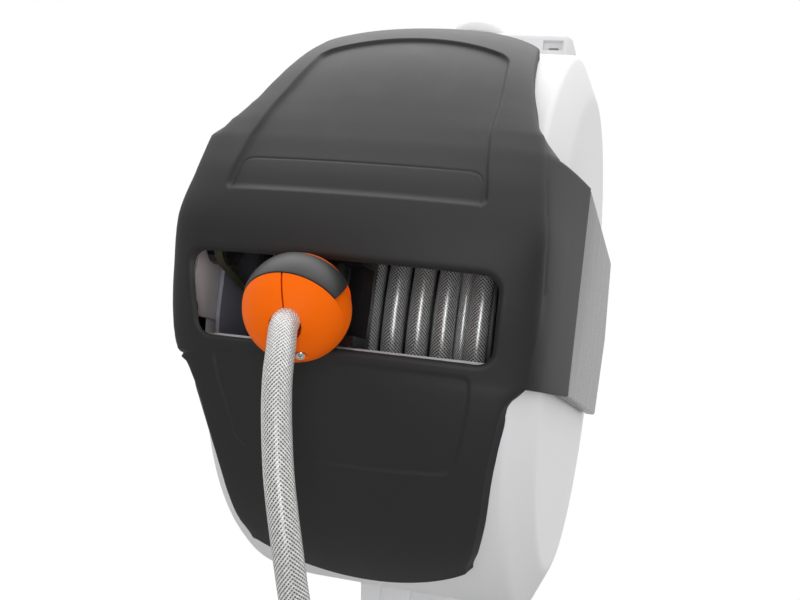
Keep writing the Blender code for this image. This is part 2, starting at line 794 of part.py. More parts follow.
def make_wall_bracket():
    """The wall plate, its two arms and the swivel pins."""
    half_w, half_h = PLATE_WIDTH / 2, PLATE_HEIGHT / 2
    corners = ((-half_w, -half_h), (half_w, -half_h), (half_w, half_h), (-half_w, half_h))
    plate = outline_plate("wall_plate", rounded_outline(corners, PLATE_CORNER), PLATE_THICKNESS)
    place(plate, "white_plastic", None, (0.0, -PLATE_THICKNESS / 2, 0.0), FRONT_ON)
    for side in (-1, 1):
        for end in (-1, 1):
            x, z = side * WALL_HOLE_INSET_X, end * (half_h - WALL_HOLE_INSET_Z)
            hole = rod(f"wall_hole_{side}_{end}", WALL_HOLE_RADIUS, (x, 0.01, z), (x, -0.03, z), 16)
            cut(plate, hole)
        rib_x = side * (half_w - PLATE_RIB_DEPTH)
        rib = block(
            f"plate_rib_{side}",
            (rib_x - PLATE_RIB_DEPTH / 2, -PLATE_THICKNESS - PLATE_RIB_DEPTH, 0.14 - half_h),
            (rib_x + PLATE_RIB_DEPTH / 2, -PLATE_THICKNESS / 2, half_h - 0.14),
        )
        join(plate, rib)
    for end, name in ((1, "upper"), (-1, "lower")):
        make_arm(name, end)


def make_arm(name, end):
    """One arm of the bracket and its pin; end is 1 at the top and -1 at the bottom."""
    reach = WALL_TO_SWIVEL - PLATE_THICKNESS - GAP
    width = ARM_WIDTH / 2
    outline = [(width, -GAP - PLATE_THICKNESS), (-width, -GAP - PLATE_THICKNESS)]
    outline = [*outline, *arc((0.0, -PLATE_THICKNESS - reach), width, 180.0, 360.0, 12)]
    arm = outline_plate(f"{name}_arm", outline, ARM_THICKNESS)
    near = BRIDGE_TOP + RUNNING_GAP if end > 0 else FOOT_BOTTOM - RUNNING_GAP
    middle = near + end * ARM_THICKNESS / 2
    place(arm, "white_plastic", None, (0.0, 0.0, middle))
    crown(arm, end)
    far = near + end * PIN_IN_ARM
    hole = rod(f"{name}_arm_bore", PIN_RADIUS + GAP, (0, -WALL_TO_SWIVEL, near - end * 0.01),
               (0, -WALL_TO_SWIVEL, far + end * GAP), 24)
    cut(arm, hole)
    foot = near - end * PIN_IN_BOSS
    pin = rod(f"{name}_swivel_pin", PIN_RADIUS, (0, -WALL_TO_SWIVEL, foot), (0, -WALL_TO_SWIVEL, far), 24)
    place(pin, "steel", None)


def crown(arm, end):
    """Rounds the outer edge of an arm, away from the case."""
    bm = bmesh.new()
    bm.from_mesh(arm.data)
    bmesh.ops.dissolve_limit(bm, angle_limit=math.radians(1), verts=bm.verts, edges=bm.edges)
    outer = [edge for edge in bm.edges if all(vert.co.z * end > 0 for vert in edge.verts)]
    bmesh.ops.bevel(bm, geom=outer, offset=ARM_CROWN, segments=3, profile=0.5, affect="EDGES")
    bm.to_mesh(arm.data)
    bm.free()


def make_shell(name, side):
    """One half of the drum-shaped case; side is -1 on the left and 1 on the right."""
    outer = [*(RIGHT_PROFILE if side > 0 else LEFT_PROFILE), (BODY_RADIUS, GAP / 2)]
    inner = offset_profile(outer, SHELL_WALL)
    profile = [(radius, side * x) for radius, x in [*outer, *inner]]
    if side < 0:
        profile.reverse()
    shell = turned(name, profile, 48)
    in_case(shell, "white_plastic", ALONG_X)
    near, far = sorted((-side * 0.01, side * OPENING_HALF))
    window = block(
        f"{name}_front_opening",
        (near, -BODY_RADIUS - 0.02, OPENING_BOTTOM),
        (far, -0.10, OPENING_TOP),
    )
    cut(shell, case_cutter(window))
    if side < 0:
        (x0, x1), (y0, y1), (z0, z1) = CHEEK_X, CHEEK_Y, CHEEK_Z
        join(shell, case_cutter(block("left_shell_cheek", (x0, y0, z0), (x1, y1, z1))))
    if side > 0:
        x, y = INLET_PLACE
        hole = rod("inlet_hole", INLET_RADIUS + GAP, (x, y, -0.13), (x, y, -0.20), 20)
        cut(shell, case_cutter(hole))
    return shell


def offset_profile(outer, wall):
    """The inside of a turned shell, listed back from its open edge to the axis."""
    inner = []
    for i, (radius, x) in enumerate(outer):
        before = Vector(outer[max(i - 1, 0)])
        after = Vector(outer[min(i + 1, len(outer) - 1)])
        here = Vector((radius, x))
        normals = [
            Vector((-(b - a).y, (b - a).x)).normalized() for a, b in ((before, here), (here, after)) if a != b
        ]
        normal = sum(normals, Vector((0.0, 0.0))).normalized()
        moved = here - normal * wall / max(normal @ normals[0], 0.5)
        inner.append((max(moved.x, 0.0), moved.y))
    inner[0] = (0.0, outer[0][1] - wall)
    inner[-1] = (outer[-1][0] - wall, outer[-1][1])
    return inner[::-1]


def make_case():
    """The two shells, the swivel bridge and foot with their bushes."""
    make_shell("left_shell", -1)
    make_shell("right_shell", 1)
    make_bridge()
    make_foot()


def make_bridge():
    """The flat bridge over the case that takes the upper swivel pin, with a hand gap under it."""
    near, far = SWIVEL_Y - BRIDGE_DEPTH / 2, SWIVEL_Y + BRIDGE_DEPTH / 2
    bridge = block("top_bridge", (-BRIDGE_HALF, near, BODY_RADIUS - BRIDGE_SUNK), (BRIDGE_HALF, far, BRIDGE_TOP))
    in_case(bridge, "white_plastic")
    soften(bridge, 0.005, 3)
    body = rod("bridge_saddle", BODY_RADIUS + GAP, (-0.13, 0, 0), (0.13, 0, 0), 72)
    hand_half = BRIDGE_HALF - BRIDGE_CHEEK
    bar_bottom = BRIDGE_TOP - BRIDGE_BAR
    hand = block("bridge_hand_gap", (-hand_half, near - 0.02, 0.15), (hand_half, far + 0.02, bar_bottom))
    cutters_made = [body, hand]
    width, height = BRIDGE_POCKET
    for side in (-1, 1):
        middle = side * (BRIDGE_HALF - 0.015)
        pocket_top = BRIDGE_TOP - 0.006
        pocket = block(
            f"bridge_pocket_{side}",
            (middle - width / 2, near - 0.01, pocket_top - height),
            (middle + width / 2, near + 0.006, pocket_top),
        )
        slot = block(
            f"bridge_slot_{side}",
            (middle - width / 4, near - 0.01, pocket_top - height),
            (middle + width / 4, far + 0.01, pocket_top - height / 2),
        )
        cutters_made += [pocket, slot]
    bore = PIN_RADIUS + RUNNING_GAP + BUSH_WALL + GAP
    hole = rod("bridge_bore", bore, (0, SWIVEL_Y, 0.2), (0, SWIVEL_Y, 0.28), 24)
    cut(bridge, *(case_cutter(made) for made in [*cutters_made, hole]))
    make_bush("upper_bush", BRIDGE_TOP - BRIDGE_BAR, BRIDGE_TOP)


def make_foot():
    """The tapered lower boss that takes the lower swivel pin."""
    near, far = SWIVEL_Y - FOOT_DEPTH / 2, SWIVEL_Y + FOOT_DEPTH / 2
    top, bottom = FOOT_SUNK - BODY_RADIUS, FOOT_BOTTOM
    corners = (
        (-FOOT_HALF_BOTTOM, bottom),
        (FOOT_HALF_BOTTOM, bottom),
        (FOOT_HALF_TOP, top),
        (-FOOT_HALF_TOP, top),
    )
    foot = outline_plate("bottom_foot", rounded_outline(corners, 0.004, 2), FOOT_DEPTH)
    place(foot, "white_plastic", swivel_axis, (0.0, AXLE[1] + SWIVEL_Y, 0.0), FRONT_ON)
    body = rod("foot_saddle", BODY_RADIUS + GAP, (-0.13, 0, 0), (0.13, 0, 0), 72)
    bore = PIN_RADIUS + RUNNING_GAP + BUSH_WALL + GAP
    hole = rod("foot_bore", bore, (0, SWIVEL_Y, -0.28), (0, SWIVEL_Y, FOOT_BOTTOM + BRIDGE_BAR + 0.004), 24)
    grooves = [
        block(f"foot_groove_{i}", (x - 0.0008, near - 0.01, -0.27), (x + 0.0008, near + 0.0012, -0.17))
        for i, x in enumerate((-0.021, 0.003))
    ]
    cut(foot, *(case_cutter(made) for made in [body, hole, *grooves]))
    make_bush("lower_bush", FOOT_BOTTOM, FOOT_BOTTOM + BRIDGE_BAR)


def make_bush(name, bottom, top):
    """A plain sleeve round a swivel pin."""
    inner = PIN_RADIUS + RUNNING_GAP
    outer = inner + BUSH_WALL
    bush = turned(name, [(outer, top), (outer, bottom), (inner, bottom), (inner, top)], 16)
    place(bush, "black_plastic", swivel_axis)


def make_cover():
    """The moulded front cover, with its window and its two shallow recesses."""
    cover = cover_skin("front_cover")
    in_case(cover, "charcoal_plastic")
    shell = cover.modifiers.new("wall", "SOLIDIFY")
    shell.thickness = COVER_WALL
    shell.offset = -1.0
    shell.use_even_offset = True
    shell.thickness_clamp = 1.0
    window = outline_plate("cover_window", window_outline(), 0.10)
    window.parent = swivel_axis
    window.location = (0.0, AXLE[1] - BODY_RADIUS, 0.0)
    window.rotation_euler = FRONT_ON
    for side in (-1, 1):
        join(cover, case_cutter(window_lip(side)))
    grown = [(radius + COVER_GAP, half) for radius, half in case_form(COVER_GAP)]
    form = turned("case_form", grown, 48, cutters)
    cut(cover, case_cutter(form, ALONG_X), window)


def case_form(margin):
    """The case's outer form, right side to left, as radii and places along the axle."""
    right = [(radius, half + margin) for radius, half in RIGHT_PROFILE[1:]]
    left = [(radius, -half - margin) for radius, half in reversed(LEFT_PROFILE[1:])]
    ends = [(-margin, RIGHT_PROFILE[0][1] + margin), (-margin, -LEFT_PROFILE[0][1] - margin)]
    return [ends[0], *right, *left, ends[1]]


def window_lip(side):
    """The return that runs back from the window's edge on one side."""
    bm = bmesh.new()
    for height in (WINDOW_BOTTOM + WINDOW_CORNER, WINDOW_TOP - WINDOW_CORNER):
        section = Section(ledge_angle(height))
        edge = window_half(height, side)
        _, front, z = section.point(side * edge, section.drop(edge) + COVER_WALL / 2)
        for x in (edge - LIP_WALL / 2, edge + LIP_WALL):
            for y in (front, front + LIP_DEPTH):
                bm.verts.new((side * x, y, z))
    bmesh.ops.convex_hull(bm, input=bm.verts)
    return object_from(bm, f"window_lip_{side}")


def wing_corners(inset):
    """A wing's side view, as (y, z) corners, drawn in by an inset."""
    return (
        (SEAM_BOTTOM_Y + RUNNING_GAP + inset, LEDGE_BOTTOM + inset),
        (WING_REAR_BOTTOM[0] - inset, WING_REAR_BOTTOM[1] + inset),
        (WING_REAR_MIDDLE[0] - inset, WING_REAR_MIDDLE[1]),
        (WING_REAR_TOP[0] - inset, WING_REAR_TOP[1] - inset),
        (SEAM_TOP_Y + RUNNING_GAP + inset, LEDGE_TOP - inset),
    )


def wing_solid(name, side, inset, inner, outer_inset):
    """A wing's outer form, tapering to its rear."""
    plate = outline_plate(name, rounded_outline(wing_corners(inset), WING_CORNER - inset * 0.6, 3), 1.0)
    for vert in plate.data.vertices:
        y = vert.co.x
        outside = (vert.co.z > 0) == (side > 0)
        rear = (y - SEAM_TOP_Y) / (WING_REAR_MIDDLE[0] - SEAM_TOP_Y)
        outer = SEAM_HALF + max(rear, 0.0) * (WING_REAR_HALF - SEAM_HALF) - outer_inset
        vert.co.z = side * (outer if outside else inner)
    return plate


def make_wings():
    """The two side wings, hollow towards the case."""
    for name, side, profile in (("left_wing", -1, LEFT_PROFILE), ("right_wing", 1, RIGHT_PROFILE)):
        inner = profile[0][1]
        wing = wing_solid(name, side, 0.0, inner + GAP, 0.0)
        in_case(wing, "grey_plastic", SIDE_ON)
        hollow = wing_solid(name + "_hollow", side, WING_WALL, inner - 0.01, WING_WALL)
        cut(wing, case_cutter(hollow, SIDE_ON))


def make_axle_set():
    """The fixed axle, its two sockets and the side frames that carry the guide."""
    axle = rod("main_axle", AXLE_RADIUS, (AXLE_LEFT_END, 0, 0), (FRAME_INSIDE - GAP, 0, 0), 32)
    in_case(axle, "steel")
    near = -FRAME_INSIDE - FRAME_THICKNESS - GAP
    far = -body_half(SOCKET_RADIUS, 0.0, -1) + SHELL_WALL + GAP
    bore = AXLE_RADIUS + GAP
    profile = [(SOCKET_RADIUS, near), (SOCKET_RADIUS, far), (bore, far), (bore, near)]
    in_case(turned("left_axle_socket", profile, 32), "white_plastic", ALONG_X)
    make_side_frame("left_side_frame", -1, LEFT_FRAME_RADIUS)
    make_side_frame("right_side_frame", 1, RIGHT_FRAME_RADIUS)


def make_side_frame(name, side, radius):
    """A side frame: a disc about the axle with a lobe to the guide screw and rod."""
    reach = math.atan2(ROD_PLACE[1], -ROD_PLACE[0])
    lobe = [(SCREW_PLACE[0] + 0.002, SCREW_PLACE[1] - 0.009)]
    outline = arc((0.0, 0.0), radius, FRAME_LOBE_ANGLE, 180.0 - math.degrees(reach) - 6.0, 28)
    outline += [(ROD_PLACE[0], ROD_PLACE[1] + 0.010), (ROD_PLACE[0] - 0.009, ROD_PLACE[1])]
    outline += [(SCREW_PLACE[0] - 0.009, SCREW_PLACE[1] + 0.002), *lobe]
    frame = outline_plate(name, outline, FRAME_THICKNESS)
    x = side * (FRAME_INSIDE + FRAME_THICKNESS / 2)
    place(frame, "grey_plastic", swivel_axis, (x, AXLE[1], 0.0), SIDE_ON)
    span = (side * (FRAME_INSIDE - 0.01), side * (FRAME_INSIDE + 0.01))
    holes = [
        (f"{name}_axle_hole", AXLE_RADIUS + GAP if side < 0 else HUB_RADIUS + 0.002, (0.0, 0.0)),
        (f"{name}_screw_hole", SCREW_JOURNAL + GAP, SCREW_PLACE),
        (f"{name}_rod_hole", ROD_RADIUS + GAP, ROD_PLACE),
    ]
    for hole_name, bore, (y, z) in holes:
        cut(frame, case_cutter(rod(hole_name, bore, (span[0], y, z), (span[1], y, z), 20)))


def make_drum():
    """The drum: barrel, flanges, hub, belt pulley and ratchet wheel."""
    barrel_radius = WINDING_RADIUS * math.cos(math.pi / LOOP_POINTS) - WOUND_HOSE_RADIUS - GAP
    inside = FLANGE_INSIDE - GAP
    bore = barrel_radius - BARREL_WALL
    profile = [(barrel_radius, inside), (barrel_radius, -inside), (bore, -inside), (bore, inside)]
    place(turned("drum_barrel", profile, 40), "black_plastic", reel_axis, turn=ALONG_X)
    face = FLANGE_INSIDE + FLANGE_THICKNESS
    hub_bore = HUB_RADIUS + GAP
    for name, side in (("left_flange", -1), ("right_flange", 1)):
        profile = [
            (FLANGE_RADIUS, side * face),
            (FLANGE_RADIUS, side * FLANGE_INSIDE),
            (hub_bore, side * FLANGE_INSIDE),
            (hub_bore, side * face),
        ]
        if side < 0:
            profile.reverse()
        place(turned(name, profile, 40), "soft_black", reel_axis, turn=ALONG_X)
    bore = AXLE_RADIUS + RUNNING_GAP
    end = FRAME_INSIDE - RUNNING_GAP
    profile = [(HUB_RADIUS, end), (HUB_RADIUS, -end), (bore, -end), (bore, end)]
    place(turned("drum_hub", profile, 32), "white_plastic", reel_axis, turn=ALONG_X)
    inner, outer = -BELT_PLANE + BELT_WIDTH / 2 + GAP, -BELT_PLANE - BELT_WIDTH / 2 - GAP
    rim = PULLEY_RADIUS + PULLEY_RIM
    left = -FRAME_INSIDE + RUNNING_GAP
    profile = [
        (rim, -face - GAP), (rim, inner), (PULLEY_RADIUS, inner), (PULLEY_RADIUS, outer),
        (rim, outer), (rim, left), (hub_bore, left), (hub_bore, -face - GAP),
    ]
    place(turned("drum_pulley", profile, 24), "white_plastic", reel_axis, turn=ALONG_X)
    make_ratchet(face + GAP)


def make_ratchet(near):
    """The ratchet wheel on the right flange."""
    outline = []
    for i in range(RATCHET_TEETH):
        for share, radius in ((0.0, RATCHET_RADIUS), (0.12, RATCHET_RADIUS - RATCHET_DEPTH)):
            turn = 2 * math.pi * (i + share) / RATCHET_TEETH
            outline.append((radius * math.cos(turn), radius * math.sin(turn)))
    ratchet = outline_plate("ratchet_wheel", outline, RATCHET_THICKNESS)
    place(ratchet, "white_plastic", reel_axis, (near + RATCHET_THICKNESS / 2, 0.0, 0.0), SIDE_ON)
    bore = rod("ratchet_bore", HUB_RADIUS + GAP, (near - 0.01, 0, 0), (near + 0.02, 0, 0), 20)
    bore.parent = reel_axis
    cut(ratchet, bore)


def winding_route():
    """The centreline of the outer layer of hose, one unbroken helix across the drum."""
    count = round(TURNS * LOOP_POINTS)
    points = []
    for i in range(count + 1):
        turn = i / LOOP_POINTS
        angle = 2 * math.pi * turn
        x = FIRST_TURN_X + TURN_PITCH * min(turn, EVEN_TURNS)
        x += LAST_TURN_STEP * min(max(turn - (EVEN_TURNS), 0.0) / LAST_STEP_SPAN, 1.0)
        points.append((x, -WINDING_RADIUS * math.cos(angle), WINDING_RADIUS * math.sin(angle)))
    return points


def least_gap(route, radius):
    """The least gap between a coil and itself, measured on its points."""
    points = np.array(route)
    skip = LOOP_POINTS // 2
    least = math.inf
    for i in range(len(points) - skip):
        away = np.linalg.norm(points[i + skip :] - points[i], axis=1).min()
        least = min(least, away - 2 * radius)
    return least


def make_hose_winding():
    """The outer layer of hose on the drum."""
    route = [p for p in winding_route() if abs(p[0]) <= FLANGE_INSIDE - HOSE_RADIUS - RUNNING_GAP]
    winding = tube("hose_winding", route, WOUND_HOSE_RADIUS, 1)
    place(winding, "clear_hose", reel_axis)
    print(f"hose winding: least gap to itself {least_gap(route, WOUND_HOSE_RADIUS) * 1000:.2f} mm")


def make_spring():
    """The return spring: its case inside the drum, the lid and the spiral strip."""
    half, wall = SPRING_CASE_HALF, SPRING_CASE_WALL
    bore = HUB_RADIUS + GAP
    case = [
        (SPRING_CASE_RADIUS, half), (SPRING_CASE_RADIUS, -half), (bore, -half),
        (bore, wall - half), (SPRING_CASE_RADIUS - wall, wall - half), (SPRING_CASE_RADIUS - wall, half),
    ]
    place(turned("spring_case", case, SPRING_CASE_SIDES), "grey_plastic", reel_axis, turn=ALONG_X)
    lid = [(SPRING_CASE_RADIUS, half + GAP + wall), (SPRING_CASE_RADIUS, half + GAP),
           (bore, half + GAP), (bore, half + GAP + wall)]
    place(turned("spring_lid", lid, SPRING_CASE_SIDES), "grey_plastic", reel_axis, turn=ALONG_X)
    steps = 14
    first = HUB_RADIUS + GAP + SPRING_STRIP / 2
    room = (SPRING_CASE_RADIUS - wall) * math.cos(math.pi / SPRING_CASE_SIDES)
    pitch = (room - GAP - SPRING_STRIP / 2 - first) / SPRING_TURNS
    strip = []
    for offset in (SPRING_STRIP / 2, -SPRING_STRIP / 2):
        side = [
            (first + pitch * i / steps + offset, 2 * math.pi * i / steps)
            for i in range(SPRING_TURNS * steps + 1)
        ]
        strip += side if offset > 0 else reversed(side)
    outline = [(radius * math.cos(turn), radius * math.sin(turn)) for radius, turn in strip]
    width = 2 * (half - wall) - 2 * RUNNING_GAP
    spring = outline_plate("power_spring", outline, width)
    place(spring, "steel", reel_axis, (wall / 2, 0.0, 0.0), SIDE_ON)


def tangent_belt(small, small_radius, large_radius):
    """The loop round two pulleys, as (y, z) points; the large one is at the axle."""
    away = math.hypot(*small)
    facing = math.degrees(math.atan2(small[1], small[0]))
    lean = math.degrees(math.acos((large_radius - small_radius) / away))
    around_small = arc(small, small_radius, facing + lean, facing - lean, 12)
    around_large = arc((0.0, 0.0), large_radius, facing - lean, facing + lean - 360.0, 24)
    return [*around_small, *around_large]


def even_loop(points, count):
    """A closed loop's points again, evenly spaced, with the outward direction at each."""
    ring = np.array([*points, points[0]])
    steps = np.linalg.norm(np.diff(ring, axis=0), axis=1)
    along = np.concatenate([[0.0], np.cumsum(steps)])
    at = np.linspace(0.0, along[-1], count, endpoint=False)
    made = np.stack([np.interp(at, along, ring[:, k]) for k in (0, 1)], axis=1)
    ahead = np.roll(made, -1, axis=0) - np.roll(made, 1, axis=0)
    ahead /= np.linalg.norm(ahead, axis=1)[:, None]
    return made, np.stack([-ahead[:, 1], ahead[:, 0]], axis=1)


def make_belt():
    """The toothed belt from the drum's pulley to the guide screw."""
    inner = PULLEY_RADIUS + RUNNING_GAP + BELT_TOOTH
    small = SCREW_PULLEY_RADIUS + RUNNING_GAP + BELT_TOOTH
    loop = tangent_belt(SCREW_PLACE, small, inner)
    length = sum(math.dist(a, b) for a, b in zip(loop, [*loop[1:], loop[0]], strict=True))
    teeth = round(length / BELT_PITCH)
    points, outward = even_loop(loop, teeth * 4)
    if outward[0] @ (points[0] - points.mean(axis=0)) < 0:
        outward = -outward
    back = points[::4] + outward[::4] * BELT_BACK
    rise = np.array([0.0, 0.0, 1.0, 1.0] * teeth)[:, None]
    front = points - outward * rise * BELT_TOOTH
    bm = bmesh.new()
    left, right = -BELT_PLANE - BELT_WIDTH / 2, -BELT_PLANE + BELT_WIDTH / 2
    outer = [[bm.verts.new((x, y, z)) for y, z in back] for x in (left, right)]
    inner = [[bm.verts.new((x, y, z)) for y, z in front] for x in (left, right)]
    for i in range(teeth):
        after = (i + 1) % teeth
        tooth = [(4 * i + k) % (4 * teeth) for k in range(5)]
        bm.faces.new((outer[0][i], outer[1][i], outer[1][after], outer[0][after]))
        for a, b in zip(tooth, tooth[1:], strict=False):
            bm.faces.new((inner[0][a], inner[0][b], inner[1][b], inner[1][a]))
        bm.faces.new([outer[0][i], outer[0][after], *(inner[0][k] for k in reversed(tooth))])
        bm.faces.new([outer[1][after], outer[1][i], *(inner[1][k] for k in tooth)])
    bmesh.ops.recalc_face_normals(bm, faces=bm.faces)
    in_case(object_from(bm, "guide_belt"), "belt_rubber")


def make_guide():
    """The guide screw with its pulley, the guide rod, the hose guide and its rollers."""
    reach = FRAME_INSIDE + FRAME_THICKNESS
    end = FRAME_INSIDE - RUNNING_GAP
    pulley_end = -BELT_PLANE + BELT_WIDTH / 2 + GAP
    rim = SCREW_PULLEY_RADIUS + 0.002
    pulley_left = -BELT_PLANE - BELT_WIDTH / 2 - GAP
    profile = [
        (0.0, reach), (SCREW_JOURNAL, reach), (SCREW_JOURNAL, end), (SCREW_RADIUS, end),
        (SCREW_RADIUS, pulley_end + 0.0015), (rim, pulley_end + 0.0015), (rim, pulley_end),
        (SCREW_PULLEY_RADIUS, pulley_end), (SCREW_PULLEY_RADIUS, pulley_left), (rim, pulley_left),
        (rim, -end), (SCREW_JOURNAL, -end), (SCREW_JOURNAL, -reach), (0.0, -reach),
    ]
    place(turned("guide_screw", profile, 16), "black_plastic", guide_screw_axis, turn=ALONG_X)
    y, z = ROD_PLACE
    in_case(rod("guide_rod", ROD_RADIUS, (-reach, y, z), (reach, y, z), 16), "steel")
    make_hose_guide()
    for name, side in (("left_guide_roller", -1), ("right_guide_roller", 1)):
        bottom = GUIDE_BOTTOM + GUIDE_SHOE + GAP
        top = GUIDE_HEAD_BOTTOM - GAP
        bore = ROLLER_PIN_RADIUS + GAP
        profile = [(ROLLER_RADIUS, top), (ROLLER_RADIUS, bottom), (bore, bottom), (bore, top)]
        place_at = (ROLLER_SHIFT + side * ROLLER_SPREAD, 0.0, 0.0)
        place(turned(name, profile, 20), "black_plastic", guide_centre, place_at)
        low, high = ROLLER_PIN_SPAN
        pin = rod(name + "_pin", ROLLER_PIN_RADIUS, (0, 0, low), (0, 0, high), 12)
        place(pin, "steel", guide_centre, place_at)


def hose_direction():
    return Vector(BALL_HOSE_LEAN).normalized()


def make_hose_guide():
    """The guide that lays the hose: a head on the screw and rod, a back wall and a shoe."""
    front, back = GUIDE_FRONT - ROLLER_Y, GUIDE_BACK - ROLLER_Y
    wall = back - 0.007
    outline = [
        (wall, GUIDE_BOTTOM + GUIDE_SHOE), (front, GUIDE_BOTTOM + GUIDE_SHOE), (front, GUIDE_BOTTOM),
        (back, GUIDE_BOTTOM), (back, 0.046), (back + 0.004, 0.052), (back, GUIDE_HEAD_TOP - 0.002),
        (ROD_PLACE[0] - ROLLER_Y - 0.008, GUIDE_HEAD_TOP), (front + 0.012, 0.034), (front, 0.024),
        (front, GUIDE_HEAD_BOTTOM), (wall, GUIDE_HEAD_BOTTOM),
    ]
    guide = outline_plate("hose_guide", outline[::-1], 2 * GUIDE_HALF)
    place(guide, "black_plastic", guide_centre, turn=SIDE_ON)
    far = GUIDE_HALF + 0.01
    for name, radius, (y, z) in (
        ("guide_screw_bore", SCREW_RADIUS + RUNNING_GAP, SCREW_PLACE),
        ("guide_rod_bore", ROD_RADIUS + GAP, ROD_PLACE),
    ):
        hole = rod(name, radius, (-far, y - ROLLER_Y, z), (far, y - ROLLER_Y, z), 20)
        hole.parent = guide_centre
        cut(guide, hole)
    for side in (-1, 1):
        x = ROLLER_SHIFT + side * ROLLER_SPREAD
        hole = rod(
            f"roller_pin_bore_{side}", ROLLER_PIN_RADIUS + GAP,
            (x, 0, ROLLER_PIN_SPAN[0] - GAP), (x, 0, ROLLER_PIN_SPAN[1] + GAP), 12,
        )
        hole.parent = guide_centre
        cut(guide, hole)
    ball = Vector(ball_centre.location)
    throat_end = ball - hose_direction() * (STUB_BEHIND + LEAD_STRAIGHT / 2)
    throat = rod("guide_throat", HOSE_RADIUS + THROAT_CLEARANCE, ball, throat_end, 24)
    throat.parent = guide_centre
    cut(guide, throat)
    make_hose_lead(ball, guide)


def lead_route(ball):
    """The hose from the ball's stub up and over the winding, about the guide's centre."""
    away = -hose_direction()
    start = ball + away * (STUB_BEHIND + GAP)
    points = [start, start + away * LEAD_STRAIGHT]
    rise = math.asin(away.z)
    for i in range(1, 5):
        turn = rise + (math.pi / 2 - rise) * i / 4
        step = LEAD_BEND * (math.pi / 2 - rise) / 4
        last = points[-1]
        points.append(last + Vector((away.x * (1 - i / 4), math.cos(turn), math.sin(turn))) * step)
    top = points[-1]
    axle = Vector((0.0, -ROLLER_Y, 0.0))
    ride = WINDING_RADIUS + WOUND_HOSE_RADIUS + HOSE_RADIUS + LEAD_CLEARANCE
    reach = math.hypot(top.y - axle.y, top.z)
    first = math.atan2(top.z, axle.y - top.y)
    for i in range(1, 8):
        share = i / 7
        turn = first + math.radians(LEAD_SWEEP) * share
        radius = max(reach + (ride - reach) * min(share * 3, 1.0), ride)
        y = axle.y - radius * math.cos(turn)
        points.append(Vector((top.x - LEAD_DRIFT * share, y, radius * math.sin(turn))))
    return [tuple(point) for point in points]


def make_hose_lead(ball, guide):
    """The hose between the ball and the top of the winding, and its way through the guide."""
    route = lead_route(ball)
    way = tube("guide_lead_way", route, HOSE_RADIUS + THROAT_CLEARANCE, 2, cutters)
    way.parent = guide_centre
    cut(guide, way)
    place(tube("hose_lead", route, HOSE_RADIUS, 2), "clear_hose", guide_centre)


def turned_to(direction):
    """The turn that takes Z to a direction."""
    return Vector((0.0, 0.0, 1.0)).rotation_difference(Vector(direction).normalized()).to_euler()


def ball_cutter(obj, turn=None):
    """Sets a cutter that was laid out about the ball's centre."""
    obj.parent = ball_centre
    if turn is not None:
        obj.rotation_euler = turn
    return obj


def ball_arc(radius, start, end, steps=4):
    """Profile points on a sphere between two heights."""
    heights = [start + (end - start) * i / steps for i in range(steps + 1)]
    return [(math.sqrt(radius**2 - height**2), height) for height in heights]


def make_ball_stop():
    """The ball stop on the hose: two halves, the soft band over them and the clamp screw."""
    direction = hose_direction()
    reach = 0.05
    low, high = BAND_REACH
    seam = Vector(BALL_SEAM_NORMAL).normalized()
    screw_way = Vector(BALL_SCREW_PLACE).normalized()
    head = screw_way * (BALL_RADIUS - 0.0012)
    tail = head - screw_way * BALL_SCREW_LENGTH
    for name, side in (("ball_left_half", -1), ("ball_right_half", 1)):
        bm = bmesh.new()
        bmesh.ops.create_uvsphere(bm, u_segments=28, v_segments=16, radius=BALL_RADIUS)
        half = object_from(bm, name)
        place(half, "orange_plastic", ball_centre)
        floor = BALL_SEAM / 2
        other = block(f"{name}_side", (-reach, -reach, -reach), (reach, reach, floor))
        ball_cutter(other, turned_to(seam * side))
        bore = rod(f"{name}_bore", BALL_BORE, direction * reach, direction * -reach, 24)
        floor_radius = BALL_RADIUS - BAND_DEPTH - GAP
        recess = [(reach, high + GAP), (reach, low - GAP), *ball_arc(floor_radius, low - GAP, high + GAP)]
        groove = ball_cutter(settle(turned(f"{name}_groove", recess, 32)), turned_to(BAND_AXIS))
        trim_band(groove, f"{name}_groove", -GAP)
        pilot = rod(f"{name}_screw_hole", BALL_SCREW_RADIUS + GAP, head * 1.2, tail - screw_way * GAP, 16)
        cut(half, other, ball_cutter(bore), groove, ball_cutter(pilot))
    profile = ball_arc(BALL_RADIUS + BAND_PROUD, high, low) + ball_arc(BALL_RADIUS - BAND_DEPTH, low, high)
    band = turned("ball_band", profile, 32)
    place(band, "soft_black", ball_centre, turn=turned_to(BAND_AXIS))
    trim_band(band, "ball_band", 0.0)
    screw = rod("ball_screw", BALL_SCREW_RADIUS, tail, head, 16)
    place(screw, "steel", ball_centre)


def trim_band(ring, name, floor):
    """Cuts a ring down to the stretch that covers the top of the ball."""
    reach = 0.08
    for side in (-1, 1):
        x, y, z = BAND_END_NORMAL
        cutter = block(f"{name}_end_{side}", (-reach, -reach, -reach), (reach, reach, floor))
        combine(ring, ball_cutter(cutter, turned_to((side * x, y, z))), "DIFFERENCE")


